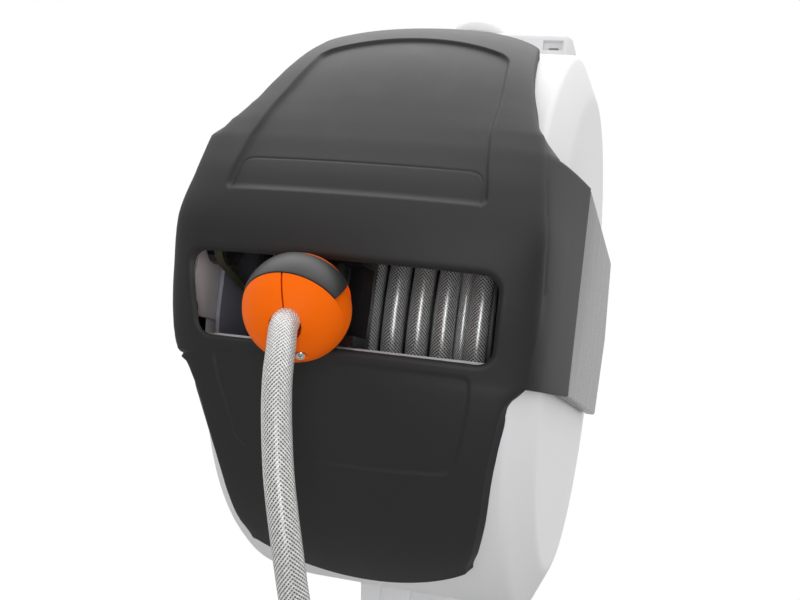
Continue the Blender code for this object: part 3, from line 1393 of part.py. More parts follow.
def make_hose_end():
    """The hose through the ball, the free hose and the connector on its end."""
    direction = hose_direction()
    stub_end = direction * (BALL_RADIUS - MOUTH_DEPTH)
    stub = rod("hose_stub", HOSE_RADIUS, -direction * STUB_BEHIND, stub_end, 20)
    place(stub, "clear_hose", ball_centre)
    axle_to_ball = Vector(BALL_CENTRE)
    start = direction * (BALL_RADIUS - MOUTH_DEPTH + GAP)
    straight = direction * (BALL_RADIUS - MOUTH_DEPTH + 2 * HOSE_RADIUS)
    route = [start, straight] + [Vector(p) - axle_to_ball for p in FREE_HOSE_ROUTE]
    free = tube("free_hose", [tuple(p) for p in route], HOSE_RADIUS, 3)
    place(free, "clear_hose", ball_centre)
    x, y, end = route[-1]
    nut_top = end + HOSE_IN_NUT
    nut_low = nut_top - NUT_LENGTH
    bore = HOSE_RADIUS + GAP
    nut = [(NUT_RADIUS, nut_top), (NUT_RADIUS, nut_low), (bore, nut_low), (bore, nut_top)]
    place(turned("connector_nut", nut, 24), "orange_plastic", ball_centre, (x, y, 0.0))
    top = nut_low - GAP
    body = [
        (0.0, top), (CONNECTOR_RADIUS, top), (CONNECTOR_RADIUS, top - CONNECTOR_LENGTH * 0.7),
        (CONNECTOR_RADIUS * 0.9, top - CONNECTOR_LENGTH), (CONNECTOR_BORE, top - CONNECTOR_LENGTH),
        (CONNECTOR_BORE, top - CONNECTOR_LENGTH * 0.5), (0.0, top - CONNECTOR_LENGTH * 0.5),
    ]
    place(turned("connector_body", body, 24), "grey_plastic", ball_centre, (x, y, 0.0))


def make_water_way():
    """The inlet nipple, the feed tube and the turning water joint at the axle."""
    x, y = INLET_PLACE
    top = FEED_ROUTE[0][2] - GAP
    radius = INLET_RADIUS
    profile = [
        (0.0, top), (radius, top), (radius, INLET_BOTTOM + 0.02), (radius * 0.9, INLET_BOTTOM + 0.018),
        (radius * 0.9, INLET_BOTTOM), (0.006, INLET_BOTTOM), (0.006, top - 0.01), (0.0, top - 0.01),
    ]
    nipple = turned("inlet_nipple", profile, 16)
    place(nipple, "brass", swivel_axis, (x, AXLE[1] + y, 0.0))
    feed = tube("feed_tube", FEED_ROUTE, FEED_RADIUS, 2)
    in_case(feed, "soft_black")
    near = FRAME_INSIDE + FRAME_THICKNESS + GAP
    far = body_half(JOINT_RADIUS, 0.0, 1) - SHELL_WALL - GAP
    joint = rod("water_joint", JOINT_RADIUS, (near, 0, 0), (far, 0, 0), 32)
    in_case(joint, "brass")


def make_pawl():
    """The sprung pawl beside the ratchet wheel, and its pivot pin on the right frame."""
    y, z = PAWL_PIVOT
    near = FLANGE_INSIDE + FLANGE_THICKNESS + 2 * GAP
    x = near + RATCHET_THICKNESS / 2
    tip = Vector((-0.020, 0.004))
    outline = [*arc((0.0, 0.0), 0.0065, -100.0, 90.0, 8), (tip.x, tip.y + 0.004), (tip.x - 0.002, tip.y)]
    pawl = outline_plate("pawl", outline, PAWL_THICKNESS)
    place(pawl, "steel", swivel_axis, (x, AXLE[1] + y, z), SIDE_ON)
    hole = rod("pawl_bore", PAWL_PIN_RADIUS + GAP, (x - 0.02, y, z), (x + 0.02, y, z), 16)
    cut(pawl, case_cutter(hole))
    pin = rod("pawl_pin", PAWL_PIN_RADIUS, (x - PAWL_THICKNESS / 2, y, z), (FRAME_INSIDE - GAP, y, z), 16)
    in_case(pin, "steel")


make_wall_bracket()
make_case()
make_cover()
make_wings()
make_axle_set()
make_drum()
make_hose_winding()
make_spring()
make_belt()
make_guide()
make_ball_stop()
make_hose_end()
make_water_way()
make_pawl()

for piece in parts.objects:
    if piece.type == "MESH":
        piece.data.shade_smooth()
        piece.data.set_sharp_from_angle(angle=math.radians(35))
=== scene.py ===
"""Dresses the retractable hose reel for its photograph: moulded cover, case, ball stop and braided hose."""

from __future__ import annotations

import logging
import math
from collections.abc import Callable, Sequence
from dataclasses import dataclass, field
from enum import Enum

import bpy
import numpy as np
from mathutils import Matrix, Vector


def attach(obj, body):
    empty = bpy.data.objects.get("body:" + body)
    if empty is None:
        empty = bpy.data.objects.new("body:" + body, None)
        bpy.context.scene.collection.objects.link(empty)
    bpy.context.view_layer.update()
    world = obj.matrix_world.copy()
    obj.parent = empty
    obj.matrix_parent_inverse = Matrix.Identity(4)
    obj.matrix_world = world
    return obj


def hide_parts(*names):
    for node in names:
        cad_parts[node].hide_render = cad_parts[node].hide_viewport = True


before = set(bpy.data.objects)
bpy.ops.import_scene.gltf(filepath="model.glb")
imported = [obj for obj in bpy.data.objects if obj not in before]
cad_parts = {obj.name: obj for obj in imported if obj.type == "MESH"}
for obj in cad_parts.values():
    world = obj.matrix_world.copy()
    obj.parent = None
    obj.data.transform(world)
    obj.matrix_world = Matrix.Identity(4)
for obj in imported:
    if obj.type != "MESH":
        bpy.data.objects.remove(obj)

log = logging.getLogger("hose_reel")

Piece = bpy.types.Object
Socket = bpy.types.NodeSocket
Point2 = tuple[float, float]
Point3 = tuple[float, float, float]

AXLE = Vector((0.0, -0.255, 0.0))
ACROSS = Vector((1.0, 0.0, 0.0))
GAP = 0.0003
BODY_RADIUS = 0.200
SQUARE = ((1, 1), (-1, 1), (-1, -1), (1, -1))


class Body(str, Enum):
    """The moving bodies that finished pieces ride on."""

    BRACKET = "bracket"
    HOUSING = "housing"
    DRUM = "drum"
    CARRIAGE = "carriage"
    HOSE_END = "hose_end"


class Side(Enum):
    """The left and right of the case, as seen from the front."""

    LEFT = -1
    RIGHT = 1

    @property
    def label(self) -> str:
        """The side's name in small letters."""
        return self.name.lower()


# Modelling tools


def clamp(value: float, low: float = 0.0, high: float = 1.0) -> float:
    """A value held between two others."""
    return min(max(value, low), high)


def select_only(obj: Piece) -> Piece:
    """Makes one object the only selected and active one.

    Args:
        obj: The object.

    Returns:
        The same object.
    """
    bpy.ops.object.select_all(action="DESELECT")
    obj.select_set(True)
    bpy.context.view_layer.objects.active = obj
    return obj


def added(name: str) -> Piece:
    """Names the primitive that was just added and settles its place into its mesh.

    Args:
        name: The name.

    Returns:
        The object.
    """
    obj = bpy.context.object
    obj.name = obj.data.name = name
    bpy.ops.object.transform_apply(location=True, rotation=True, scale=True)
    return obj


def place_vertices(obj: Piece, points: Sequence[Sequence[float]]) -> None:
    """Moves a mesh's vertices, in order, to a list of points."""
    obj.data.vertices.foreach_set("co", np.asarray(points, dtype=np.float32).ravel())
    obj.data.update()


def in_edit_mode(obj: Piece, work: Callable[[], None]) -> Piece:
    """Runs operators on the whole of a mesh in edit mode.

    Args:
        obj: The mesh object.
        work: The operators to run.

    Returns:
        The same object.
    """
    select_only(obj)
    bpy.ops.object.mode_set(mode="EDIT")
    bpy.ops.mesh.select_all(action="SELECT")
    work()
    bpy.ops.object.mode_set(mode="OBJECT")
    return obj


def weld() -> None:
    """Merges doubles and turns the normals outwards, in edit mode."""
    bpy.ops.mesh.select_all(action="SELECT")
    bpy.ops.mesh.remove_doubles(threshold=0.000002)
    bpy.ops.mesh.delete_loose(use_verts=True, use_edges=True, use_faces=False)
    bpy.ops.mesh.select_all(action="SELECT")
    bpy.ops.mesh.normals_make_consistent(inside=False)


def modified(obj: Piece, kind: str, **settings: object) -> Piece:
    """Adds a modifier with its settings and applies it.

    Args:
        obj: The mesh object.
        kind: Blender's name of the modifier.
        settings: The modifier's settings.

    Returns:
        The same object.
    """
    select_only(obj)
    modifier = obj.modifiers.new(kind.lower(), kind)
    for key, value in settings.items():
        setattr(modifier, key, value)
    bpy.ops.object.modifier_apply(modifier=modifier.name)
    return obj


def bevelled(obj: Piece, width: float, segments: int = 2, angle: float = 35.0) -> Piece:
    """Rounds a piece's edges that are sharper than an angle."""
    limit = math.radians(angle)
    return modified(obj, "BEVEL", width=width, segments=segments, limit_method="ANGLE", angle_limit=limit)


def smoothed(obj: Piece, angle: float = 32.0) -> Piece:
    """Shades a piece smooth, with edges sharper than an angle kept.

    Args:
        obj: The mesh object.
        angle: The angle, in degrees.

    Returns:
        The same object.
    """
    select_only(obj)
    bpy.ops.object.shade_smooth_by_angle(angle=math.radians(angle))
    return obj


def carved(obj: Piece, cutter: Piece, operation: str = "DIFFERENCE", solver: str = "EXACT") -> Piece:
    """Cuts a solid out of a piece, or joins one to it, and removes the cutter.

    Args:
        obj: The piece.
        cutter: The solid.
        operation: Blender's name of the operation.
        solver: Blender's name of the solver.

    Returns:
        The piece.
    """
    modified(obj, "BOOLEAN", object=cutter, operation=operation, solver=solver)
    bpy.data.objects.remove(cutter)
    return obj


def joined(obj: Piece, others: Sequence[Piece]) -> Piece:
    """Joins other meshes to a piece as one mesh.

    Args:
        obj: The piece.
        others: The meshes to join to it.

    Returns:
        The piece.
    """
    select_only(obj)
    for other in others:
        other.select_set(True)
    bpy.ops.object.join()
    return obj


def ring(name: str, points: Sequence[Point3], fill: str = "NOTHING") -> Piece:
    """A circle primitive whose vertices are moved to a closed outline.

    Args:
        name: The ring's name.
        points: The outline.
        fill: Blender's name of the fill.

    Returns:
        The ring.
    """
    bpy.ops.object.select_all(action="DESELECT")
    bpy.ops.mesh.primitive_circle_add(vertices=len(points), radius=0.1, fill_type=fill)
    obj = added(name)
    place_vertices(obj, points)
    return obj


def lathed(name: str, profile: Sequence[Point2], centre: Vector, axis: Vector, steps: int = 96) -> Piece:
    """Spins a closed profile about an axis.

    Args:
        name: The piece's name.
        profile: Radii and places along the axis.
        centre: A point on the axis, from which places are counted.
        axis: The axis.
        steps: How many steps make the turn.

    Returns:
        The spun solid.
    """
    axis = axis.normalized()
    out = axis.orthogonal().normalized()
    obj = ring(name, [tuple(centre + out * radius + axis * along) for radius, along in profile])

    def spin() -> None:
        """Spins the profile once round."""
        bpy.ops.mesh.spin(steps=steps, angle=2 * math.pi, center=tuple(centre), axis=tuple(axis))
        weld()

    return in_edit_mode(obj, spin)


def rod(name: str, radius: float, low: float, high: float, centre: Vector, axis: Vector, steps: int) -> Piece:
    """A round rod between two places along an axis, to be cut with."""
    return lathed(name, [(0.0, low), (radius, low), (radius, high), (0.0, high)], centre, axis, steps)


def globe(name: str, radius: float, centre: Vector) -> Piece:
    """A fine sphere, to be cut or to be cut with.

    Args:
        name: The sphere's name.
        radius: Its radius.
        centre: Its centre.

    Returns:
        The sphere.
    """
    bpy.ops.object.select_all(action="DESELECT")
    bpy.ops.mesh.primitive_uv_sphere_add(segments=128, ring_count=64, radius=radius, location=tuple(centre))
    return added(name)


def prism(name: str, outline: Sequence[Point3], depth: Vector) -> Piece:
    """Extrudes a flat closed outline to a solid.

    Args:
        name: The piece's name.
        outline: The points of one end.
        depth: The way from that end to the other.

    Returns:
        The solid.
    """

    def extrude() -> None:
        """Draws the outline out along its depth."""
        bpy.ops.mesh.extrude_region_move(TRANSFORM_OT_translate={"value": tuple(depth)})
        weld()

    return in_edit_mode(ring(name, outline, "NGON"), extrude)


def block(name: str, low: Point3, high: Point3) -> Piece:
    """A box between two corners, to be cut with or shaped further."""
    (x0, y0, z0), (x1, y1, z1) = low, high
    return prism(name, [(x0, y0, z0), (x1, y0, z0), (x1, y1, z0), (x0, y1, z0)], Vector((0.0, 0.0, z1 - z0)))


def sheet(name: str, rows: Sequence[Sequence[Point3]]) -> Piece:
    """A grid primitive laid over rows of points, listed bottom row first and left to right.

    Args:
        name: The sheet's name.
        rows: The rows of points.

    Returns:
        The sheet.
    """
    bpy.ops.object.select_all(action="DESELECT")
    bpy.ops.mesh.primitive_grid_add(x_subdivisions=len(rows[0]) - 1, y_subdivisions=len(rows) - 1, size=1.0)
    obj = added(name)
    place_vertices(obj, [point for row in rows for point in row])
    return obj


def cad_copy(name: str, node: str) -> Piece:
    """A welded copy of a CAD node with its flat faces made whole, to be rounded and finished.

    Args:
        name: The copy's name.
        node: The CAD node.

    Returns:
        The copy.
    """
    obj = bpy.data.objects.new(name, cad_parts[node].data.copy())
    bpy.context.scene.collection.objects.link(obj)
    obj.data.materials.clear()

    def clean() -> None:
        """Merges the doubles and dissolves the edges on flat faces."""
        bpy.ops.mesh.remove_doubles(threshold=0.00001)
        bpy.ops.mesh.dissolve_limited(angle_limit=math.radians(0.6))

    select_only(obj)
    bpy.ops.mesh.customdata_custom_splitnormals_clear()
    return in_edit_mode(obj, clean)


def moulded(node: str, width: float) -> Piece:
    """A copy of a CAD node with its edges rounded."""
    return smoothed(bevelled(cad_copy(f"moulded_{node}", node), width, 2, 40.0))


def rounded(corners: Sequence[Point2], radius: float, steps: int = 8) -> list[Point2]:
    """A polygon with its corners rounded, listed the way that the corners are.

    Args:
        corners: The polygon's corners.
        radius: The radius of each corner.
        steps: Steps in each corner.

    Returns:
        The outline's points.
    """
    points = []
    for i, corner in enumerate(corners):
        here = Vector(corner)
        back = (Vector(corners[i - 1]) - here).normalized()
        ahead = (Vector(corners[(i + 1) % len(corners)]) - here).normalized()
        half = back.angle(ahead) / 2
        middle = here + (back + ahead).normalized() * radius / math.sin(half)
        first = here + back * radius / math.tan(half) - middle
        last = here + ahead * radius / math.tan(half) - middle
        sweep = math.atan2(first.x * last.y - first.y * last.x, first.dot(last))
        points += [tuple(middle + Matrix.Rotation(sweep * k / steps, 2) @ first) for k in range(steps + 1)]
    return points


def evenly(places: Sequence[Sequence[float]], count: int) -> list[Point3]:
    """A line of places again, evenly spaced.

    Args:
        places: The line's points.
        count: How many points to give.

    Returns:
        The new points.
    """
    line = np.array(places, dtype=float)
    along = np.concatenate([[0.0], np.cumsum(np.linalg.norm(np.diff(line, axis=0), axis=1))])
    at = np.linspace(0.0, along[-1], count)
    return [tuple(float(np.interp(s, along, line[:, k])) for k in range(3)) for s in at]


def smooth_route(points: Sequence[Sequence[float]], count: int) -> list[Vector]:
    """A smooth curve through route points, given again evenly spaced.

    Args:
        points: The route's points.
        count: How many points to give.

    Returns:
        The curve's points.
    """
    route = np.array(points, dtype=float)
    padded = np.vstack([2 * route[0] - route[1], route, 2 * route[-1] - route[-2]])
    made = []
    for i in range(1, len(padded) - 2):
        a, b, c, d = padded[i - 1 : i + 3]
        for t in np.linspace(0.0, 1.0, 12, endpoint=False):
            made.append(0.5 * (
                2 * b + (c - a) * t + (2 * a - 5 * b + 4 * c - d) * t**2 + (3 * b - a - 3 * c + d) * t**3
            ))
    return [Vector(place) for place in evenly([*made, route[-1]], count)]


def hose_mesh(
    name: str, route: Sequence[Vector], radius: float, outward: Callable[[Vector], Vector], sides: int = 24
) -> Piece:
    """A round tube along a route, with its ends closed and a UV map.

    The map's U goes once round the tube and its V is the length along it in metres.

    Args:
        name: The piece's name.
        route: The centreline.
        radius: The tube's radius.
        outward: Gives, at a point of the route, the way from which U is counted.
        sides: How many sides the tube has.

    Returns:
        The tube.
    """
    count = len(route)
    verts: list[Vector] = []
    along = [0.0]
    for i, centre in enumerate(route):
        tangent = (route[min(i + 1, count - 1)] - route[max(i - 1, 0)]).normalized()
        if i:
            along.append(along[-1] + (centre - route[i - 1]).length)
        way = outward(centre)
        normal = (way - tangent * way.dot(tangent)).normalized()
        side = tangent.cross(normal)
        for k in range(sides):
            turn = 2 * math.pi * k / sides
            verts.append(centre + (normal * math.cos(turn) + side * math.sin(turn)) * radius)
    faces, coords = [], []
    for i in range(count - 1):
        for k in range(sides):
            after = (k + 1) % sides
            faces.append((i * sides + k, i * sides + after, (i + 1) * sides + after, (i + 1) * sides + k))
            u0, u1 = k / sides, (k + 1) / sides
            coords += [(u0, along[i]), (u1, along[i]), (u1, along[i + 1]), (u0, along[i + 1])]
    for start, order in ((0, range(sides - 1, -1, -1)), ((count - 1) * sides, range(sides))):
        faces.append(tuple(start + k for k in order))
        coords += [(0.5, along[0] if start == 0 else along[-1])] * sides
    mesh = bpy.data.meshes.new(name)
    mesh.from_pydata([tuple(v) for v in verts], [], faces)
    layer = mesh.uv_layers.new(name="hose")
    layer.data.foreach_set("uv", np.array(coords, dtype=np.float32).ravel())
    obj = bpy.data.objects.new(name, mesh)
    bpy.context.scene.collection.objects.link(obj)
    return smoothed(obj, 40.0)


# Finishes


class Graph:
    """A small helper that adds and links shader nodes in a tree."""

    def __init__(self, tree: bpy.types.NodeTree) -> None:
        """Starts with a tree."""
        self.tree = tree

    def feed(self, node: bpy.types.Node, inputs: dict[str | int, object]) -> None:
        """Links sockets to a node's inputs, or sets the inputs' values.

        Args:
            node: The node.
            inputs: Sockets or values by the input's name or index.
        """
        for key, value in inputs.items():
            if isinstance(value, Socket):
                self.tree.links.new(value, node.inputs[key])
            else:
                node.inputs[key].default_value = value

    def add(self, kind: str, **inputs: object) -> bpy.types.Node:
        """Adds a node with its settings and inputs.

        Args:
            kind: The node's type.
            inputs: The node's own attributes, and inputs by name or as i0, i1 by index.

        Returns:
            The node.
        """
        node = self.tree.nodes.new(kind)
        for key, value in inputs.items():
            if hasattr(node, key) and not isinstance(value, Socket):
                setattr(node, key, value)
            else:
                self.feed(node, {int(key[1:]) if key[0] == "i" and key[1:].isdigit() else key: value})
        return node

    def math(self, operation: str, *values: object) -> Socket:
        """A maths node's result."""
        inputs = {f"i{i}": value for i, value in enumerate(values)}
        return self.add("ShaderNodeMath", operation=operation, **inputs).outputs[0]

    def blend(self, factor: object, low: object, high: object) -> Socket:
        """A mix of two colours by a factor."""
        return self.add("ShaderNodeMix", data_type="RGBA", i0=factor, i6=low, i7=high).outputs[2]

    def ramp(self, value: Socket, start: float, end: float) -> Socket:
        """A value eased from 0 at start to 1 at end."""
        node = self.add("ShaderNodeMapRange", interpolation_type="SMOOTHSTEP", i0=value, i1=start, i2=end)
        return node.outputs[0]


def rgba(colour: Point3, level: float = 1.0) -> tuple[float, float, float, float]:
    """A colour at a level of brightness, with full opacity."""
    return (*(min(part * level, 1.0) for part in colour), 1.0)


def node_group(name: str, inputs: dict[str, float | None], outputs: Sequence[str]) -> Graph:
    """A new shader node group with its sockets.

    Args:
        name: The group's name.
        inputs: The default of each float input, or None for a vector.
        outputs: The names of the float outputs.

    Returns:
        The group's graph, with its input and output nodes.
    """
    tree = bpy.data.node_groups.new(name, "ShaderNodeTree")
    for label, default in inputs.items():
        kind = "NodeSocketVector" if default is None else "NodeSocketFloat"
        socket = tree.interface.new_socket(label, in_out="INPUT", socket_type=kind)
        if default is not None:
            socket.default_value = default
    for label in outputs:
        tree.interface.new_socket(label, in_out="OUTPUT", socket_type="NodeSocketFloat")
    tree.nodes.new("NodeGroupInput")
    tree.nodes.new("NodeGroupOutput")
    return Graph(tree)


def grain_group() -> bpy.types.NodeTree:
    """The fine spark texture, slow tone drift and rubbed streaks of moulded plastic.

    Returns:
        The node group.
    """
    graph = node_group("moulded_grain", {"Place": None, "Fineness": 900.0}, ["Height", "Drift", "Rub"])
    place, fineness = graph.tree.nodes["Group Input"].outputs[:2]
    fine = graph.add("ShaderNodeTexNoise", Vector=place, Scale=fineness, Detail=2.0)
    slow = graph.add("ShaderNodeTexNoise", Vector=place, Scale=7.0, Detail=3.0)
    stretched = graph.add("ShaderNodeMapping", Vector=place, Scale=(30.0, 30.0, 4.0))
    rub = graph.add("ShaderNodeTexNoise", Vector=stretched.outputs[0], Scale=2.2, Detail=5.0, Roughness=0.6)
    rubbed = graph.ramp(rub.outputs[0], 0.48, 0.75)
    made = {"Height": fine.outputs[0], "Drift": slow.outputs[0], "Rub": rubbed}
    graph.feed(graph.tree.nodes["Group Output"], made)
    return graph.tree


def braid_group() -> bpy.types.NodeTree:
    """Two crossing families of yarn on a hose's own map, each one broader on its own side: a painted sheen,
    as if each family caught the light on its own side of the tube.

    Returns:
        The node group.
    """
    floats = {"Yarns": 20.0, "Lay": 0.05, "Width": 0.3, "Turn": 0.0}
    graph = node_group("braided_yarn", {"Map": None, **floats}, ["Yarn", "Height"])
    source = graph.tree.nodes["Group Input"].outputs
    parts = graph.add("ShaderNodeSeparateXYZ", i0=source["Map"])
    turns = graph.math("DIVIDE", parts.outputs[1], source["Lay"])
    round_it = graph.math("MULTIPLY", graph.math("SUBTRACT", parts.outputs[0], source["Turn"]), 2 * math.pi)
    # Painted sheen: the side of the tube on which each yarn family is drawn broader, and so brighter.
    side = graph.ramp(graph.math("SINE", round_it), -0.12, 0.12)
    broad = graph.math("MULTIPLY_ADD", side, 0.60, 0.40)
    narrow = graph.math("SUBTRACT", 1.40, broad)
    masks = []
    for sign, share in (("ADD", broad), ("SUBTRACT", narrow)):
        lay = graph.math("MULTIPLY", graph.math(sign, parts.outputs[0], turns), source["Yarns"])
        wave = graph.math("ABSOLUTE", graph.math("SUBTRACT", graph.math("FRACT", lay), 0.5))
        edge = graph.math("SUBTRACT", 0.5, wave)
        near = graph.math("DIVIDE", edge, graph.math("MULTIPLY", source["Width"], share))
        masks.append(graph.math("SUBTRACT", 1.0, graph.ramp(near, 0.55, 1.0)))
    yarn = graph.math("MAXIMUM", *masks)
    height = graph.math("ADD", yarn, graph.math("MULTIPLY", graph.math("MULTIPLY", *masks), 0.5))
    graph.feed(graph.tree.nodes["Group Output"], {"Yarn": yarn, "Height": height})
    return graph.tree


def new_material(name: str) -> tuple[bpy.types.Material, Graph, bpy.types.Node]:
    """A new node material, with its graph and its Principled shader.

    Args:
        name: The material's name.

    Returns:
        The material, the graph and the shader.
    """
    material = bpy.data.materials.new(name)
    material.use_nodes = True
    return material, Graph(material.node_tree), material.node_tree.nodes["Principled BSDF"]


def grained(
    finish: Plastic | Metal, grain: bpy.types.NodeTree
) -> tuple[bpy.types.Material, Graph, bpy.types.Node, bpy.types.NodeOutputs, bpy.types.Node]:
    """Starts a finish's material with the shared grain.

    Args:
        finish: The finish.
        grain: The shared grain group.

    Returns:
        The material, its graph and shader, the grain's outputs and the bump node.
    """
    material, graph, shader = new_material(finish.name)
    place = graph.add("ShaderNodeTexCoord").outputs["Object"]
    texture = graph.add("ShaderNodeGroup", node_tree=grain, i0=place, i1=finish.fineness).outputs
    bump = graph.add("ShaderNodeBump", Strength=1.0, Distance=finish.relief, Height=texture["Height"])
    return material, graph, shader, texture, bump


@dataclass(frozen=True)
class Plastic:
    """A moulded plastic: its colour, gloss, grain, drift of tone, rubbed streaks and specular level."""

    name: str
    colour: Point3
    roughness: float
    fineness: float = 900.0
    relief: float = 0.00002
    drift: float = 0.10
    rub: float = 0.0
    specular: float = 0.5

    def made(self, grain: bpy.types.NodeTree) -> bpy.types.Material:
        """Builds the material on the shared grain group.

        Args:
            grain: The shared grain group.

        Returns:
            The material.
        """
        material, graph, shader, texture, bump = grained(self, grain)
        rough = graph.math("MULTIPLY_ADD", texture["Height"], 0.08, self.roughness - 0.04)
        low, high = rgba(self.colour, 1 - self.drift), rgba(self.colour, 1 + self.drift)
        graph.feed(shader, {
            "Base Color": graph.blend(texture["Drift"], low, high),
            "Roughness": graph.math("SUBTRACT", rough, graph.math("MULTIPLY", texture["Rub"], self.rub)),
            "Specular IOR Level": self.specular,
            "Normal": bump.outputs[0],
        })
        return material


@dataclass(frozen=True)
class Metal:
    """A turned or drawn metal with fine lines."""

    name: str
    colour: Point3
    roughness: float
    fineness: float = 400.0
    relief: float = 0.00001

    def made(self, grain: bpy.types.NodeTree) -> bpy.types.Material:
        """Builds the material on the shared grain group.

        Args:
            grain: The shared grain group.

        Returns:
            The material.
        """
        material, graph, shader, texture, bump = grained(self, grain)
        graph.feed(shader, {
            "Base Color": graph.blend(texture["Rub"], rgba(self.colour), rgba(self.colour, 0.85)),
            "Roughness": graph.math("MULTIPLY_ADD", texture["Drift"], 0.2, self.roughness - 0.1),
            "Metallic": 1.0,
            "Normal": bump.outputs[0],
        })
        return material


@dataclass(frozen=True)
class Braid:
    """A clear hose over a crossed yarn: the yarn, what shows between, its lay, and the hose's gloss."""

    name: str
    yarn: Point3
    between: Point3
    yarns: float
    lay: float
    width: float
    # Where round the tube the painted yarn sheen changes from one family to the other.
    turn: float
    gloss: float
    film: float = 1.5
    relief: float = 0.0001

    def made(self, braid: bpy.types.NodeTree) -> bpy.types.Material:
        """Builds the material.

        Args:
            braid: The shared yarn group.

        Returns:
            The material.
        """
        material, graph, shader = new_material(self.name)
        place = graph.add("ShaderNodeTexCoord").outputs["UV"]
        texture = graph.add(
            "ShaderNodeGroup", node_tree=braid,
            i0=place, i1=self.yarns, i2=self.lay, i3=self.width, i4=self.turn,
        ).outputs
        stretched = graph.add("ShaderNodeMapping", Vector=place, Scale=(26.0, 420.0, 1.0))
        thread = graph.add("ShaderNodeTexNoise", Vector=stretched.outputs[0], Scale=1.0, Detail=2.0)
        yarn = graph.blend(graph.ramp(thread.outputs[0], 0.3, 0.7), rgba(self.yarn, 0.7), rgba(self.yarn))
        bump = graph.add("ShaderNodeBump", Strength=0.6, Distance=self.relief, Height=texture["Height"])
        graph.feed(shader, {
            "Base Color": graph.blend(texture["Yarn"], rgba(self.between), yarn),
            "Roughness": graph.math("MULTIPLY_ADD", texture["Yarn"], 0.2, 0.22),
            "Coat Weight": 1.0,
            "Coat Roughness": self.gloss,
            "Coat IOR": self.film,
            "Normal": bump.outputs[0],
        })
        return material


class Palette:
    """All the finishes of the reel, built once."""

    def __init__(self) -> None:
        """Builds the shared groups and the materials."""
        grain, braid = grain_group(), braid_group()
        finishes = [
            Plastic("cover_charcoal", (0.0160, 0.0157, 0.0157), 0.60, 1500.0, 0.00004, 0.06, 0.03, 0.34),
            Plastic("wing_charcoal", (0.026, 0.025, 0.024), 0.28, 500.0, 0.00002, 0.10, 0.04, 0.42),
            Plastic("case_white", (0.80, 0.80, 0.81), 0.38, 700.0, 0.00002, 0.015, 0.0, 0.35),
            Plastic("guide_black", (0.012, 0.012, 0.013), 0.22, 600.0, 0.00003, 0.1),
            Plastic("band_black", (0.014, 0.014, 0.015), 0.46, 2200.0, 0.00003, 0.1, 0.0, 0.4),
            Plastic("flange_grey", (0.045, 0.046, 0.049), 0.42, 900.0, 0.00003, 0.1),
            Plastic("drum_black", (0.010, 0.010, 0.011), 0.38, 900.0, 0.00003, 0.1),
            Plastic("frame_slate", (0.36, 0.38, 0.45), 0.42, 600.0, 0.00003, 0.08),
            Plastic("connector_grey", (0.16, 0.165, 0.175), 0.40, 900.0, 0.00003, 0.05),
            Plastic("ball_orange", (0.97, 0.150, 0.002), 0.50, 1200.0, 0.00002, 0.02, 0.0, 0.06),
            Plastic("belt_rubber", (0.070, 0.072, 0.035), 0.60, 700.0, 0.00005, 0.2),
            Plastic("feed_rubber", (0.018, 0.018, 0.019), 0.55, 700.0, 0.00004, 0.1),
            Metal("steel_pin", (0.62, 0.60, 0.57), 0.30),
            Metal("turned_brass", (0.72, 0.50, 0.20), 0.30),
        ]
        hoses = [
            Braid("hose_hanging", (0.82, 0.815, 0.80), (0.075, 0.073, 0.070), 22.0, 0.046, 0.33, 0.5, 0.42),
            # The same hose as the hanging one; this copy's near-black between the yarns is painted shade of
            # the case's inside.
            Braid(
                "hose_wound_shaded", (0.88, 0.88, 0.89), (0.004, 0.004, 0.0045), 19.0, 0.041, 0.29, 0.0, 0.30, 2.1,
            ),
        ]
        self.materials = {finish.name: finish.made(grain) for finish in finishes}
        self.materials.update({hose.name: hose.made(braid) for hose in hoses})


@dataclass
class Bench:
    """The workbench that dresses pieces and sets them on their bodies."""

    palette: Palette

    def finish(self, obj: Piece, finish: str, body: Body, nodes: Sequence[str], slot: str) -> Piece:
        """Dresses a piece, sets it on its body and lets it stand for CAD nodes.

        Args:
            obj: The piece.
            finish: The name of its finish.
            body: The body that it rides on.
            nodes: The CAD nodes that it replaces.
            slot: A material slot's name; not used.

        Returns:
            The piece.
        """
        obj.data.materials.clear()
        obj.data.materials.append(self.palette.materials[finish])
        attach(obj, body.value)
        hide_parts(*nodes)
        log.info("%s: %d faces on %s", obj.name, len(obj.data.polygons), body.value)
        return obj

    def keep(self, finish: str, *nodes: str) -> None:
        """Gives CAD nodes that stay a better material.

        Args:
            finish: The name of their finish.
            nodes: The CAD nodes.
        """
        for node in nodes:
            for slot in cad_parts[node].material_slots:
                slot.material = self.palette.materials[finish]
            log.info("%s: kept, %s", node, finish)


# Camera and light


@dataclass(frozen=True)
class PhotoCamera:
    """The camera that sees the reel as the photograph does."""

    position: Point3 = (0.1873, -1.0227, -0.0543)
    right: Point3 = (0.9597, 0.2535, 0.1222)
    up: Point3 = (-0.0962, -0.1125, 0.9891)
    lens: float = 46.5

    def make(self) -> None:
        """Makes the camera and gives it to the scene."""
        data = bpy.data.cameras.new("photo_camera")
        data.lens = self.lens
        data.sensor_width = 36.0
        data.clip_start, data.clip_end = 0.01, 30.0
        camera = bpy.data.objects.new("photo_camera", data)
        bpy.context.scene.collection.objects.link(camera)
        right, up = Vector(self.right).normalized(), Vector(self.up)
        up = (up - right * up.dot(right)).normalized()
        turn = Matrix((right, up, right.cross(up))).transposed()
        camera.matrix_world = Matrix.Translation(self.position) @ turn.to_4x4()
        bpy.context.scene.camera = camera


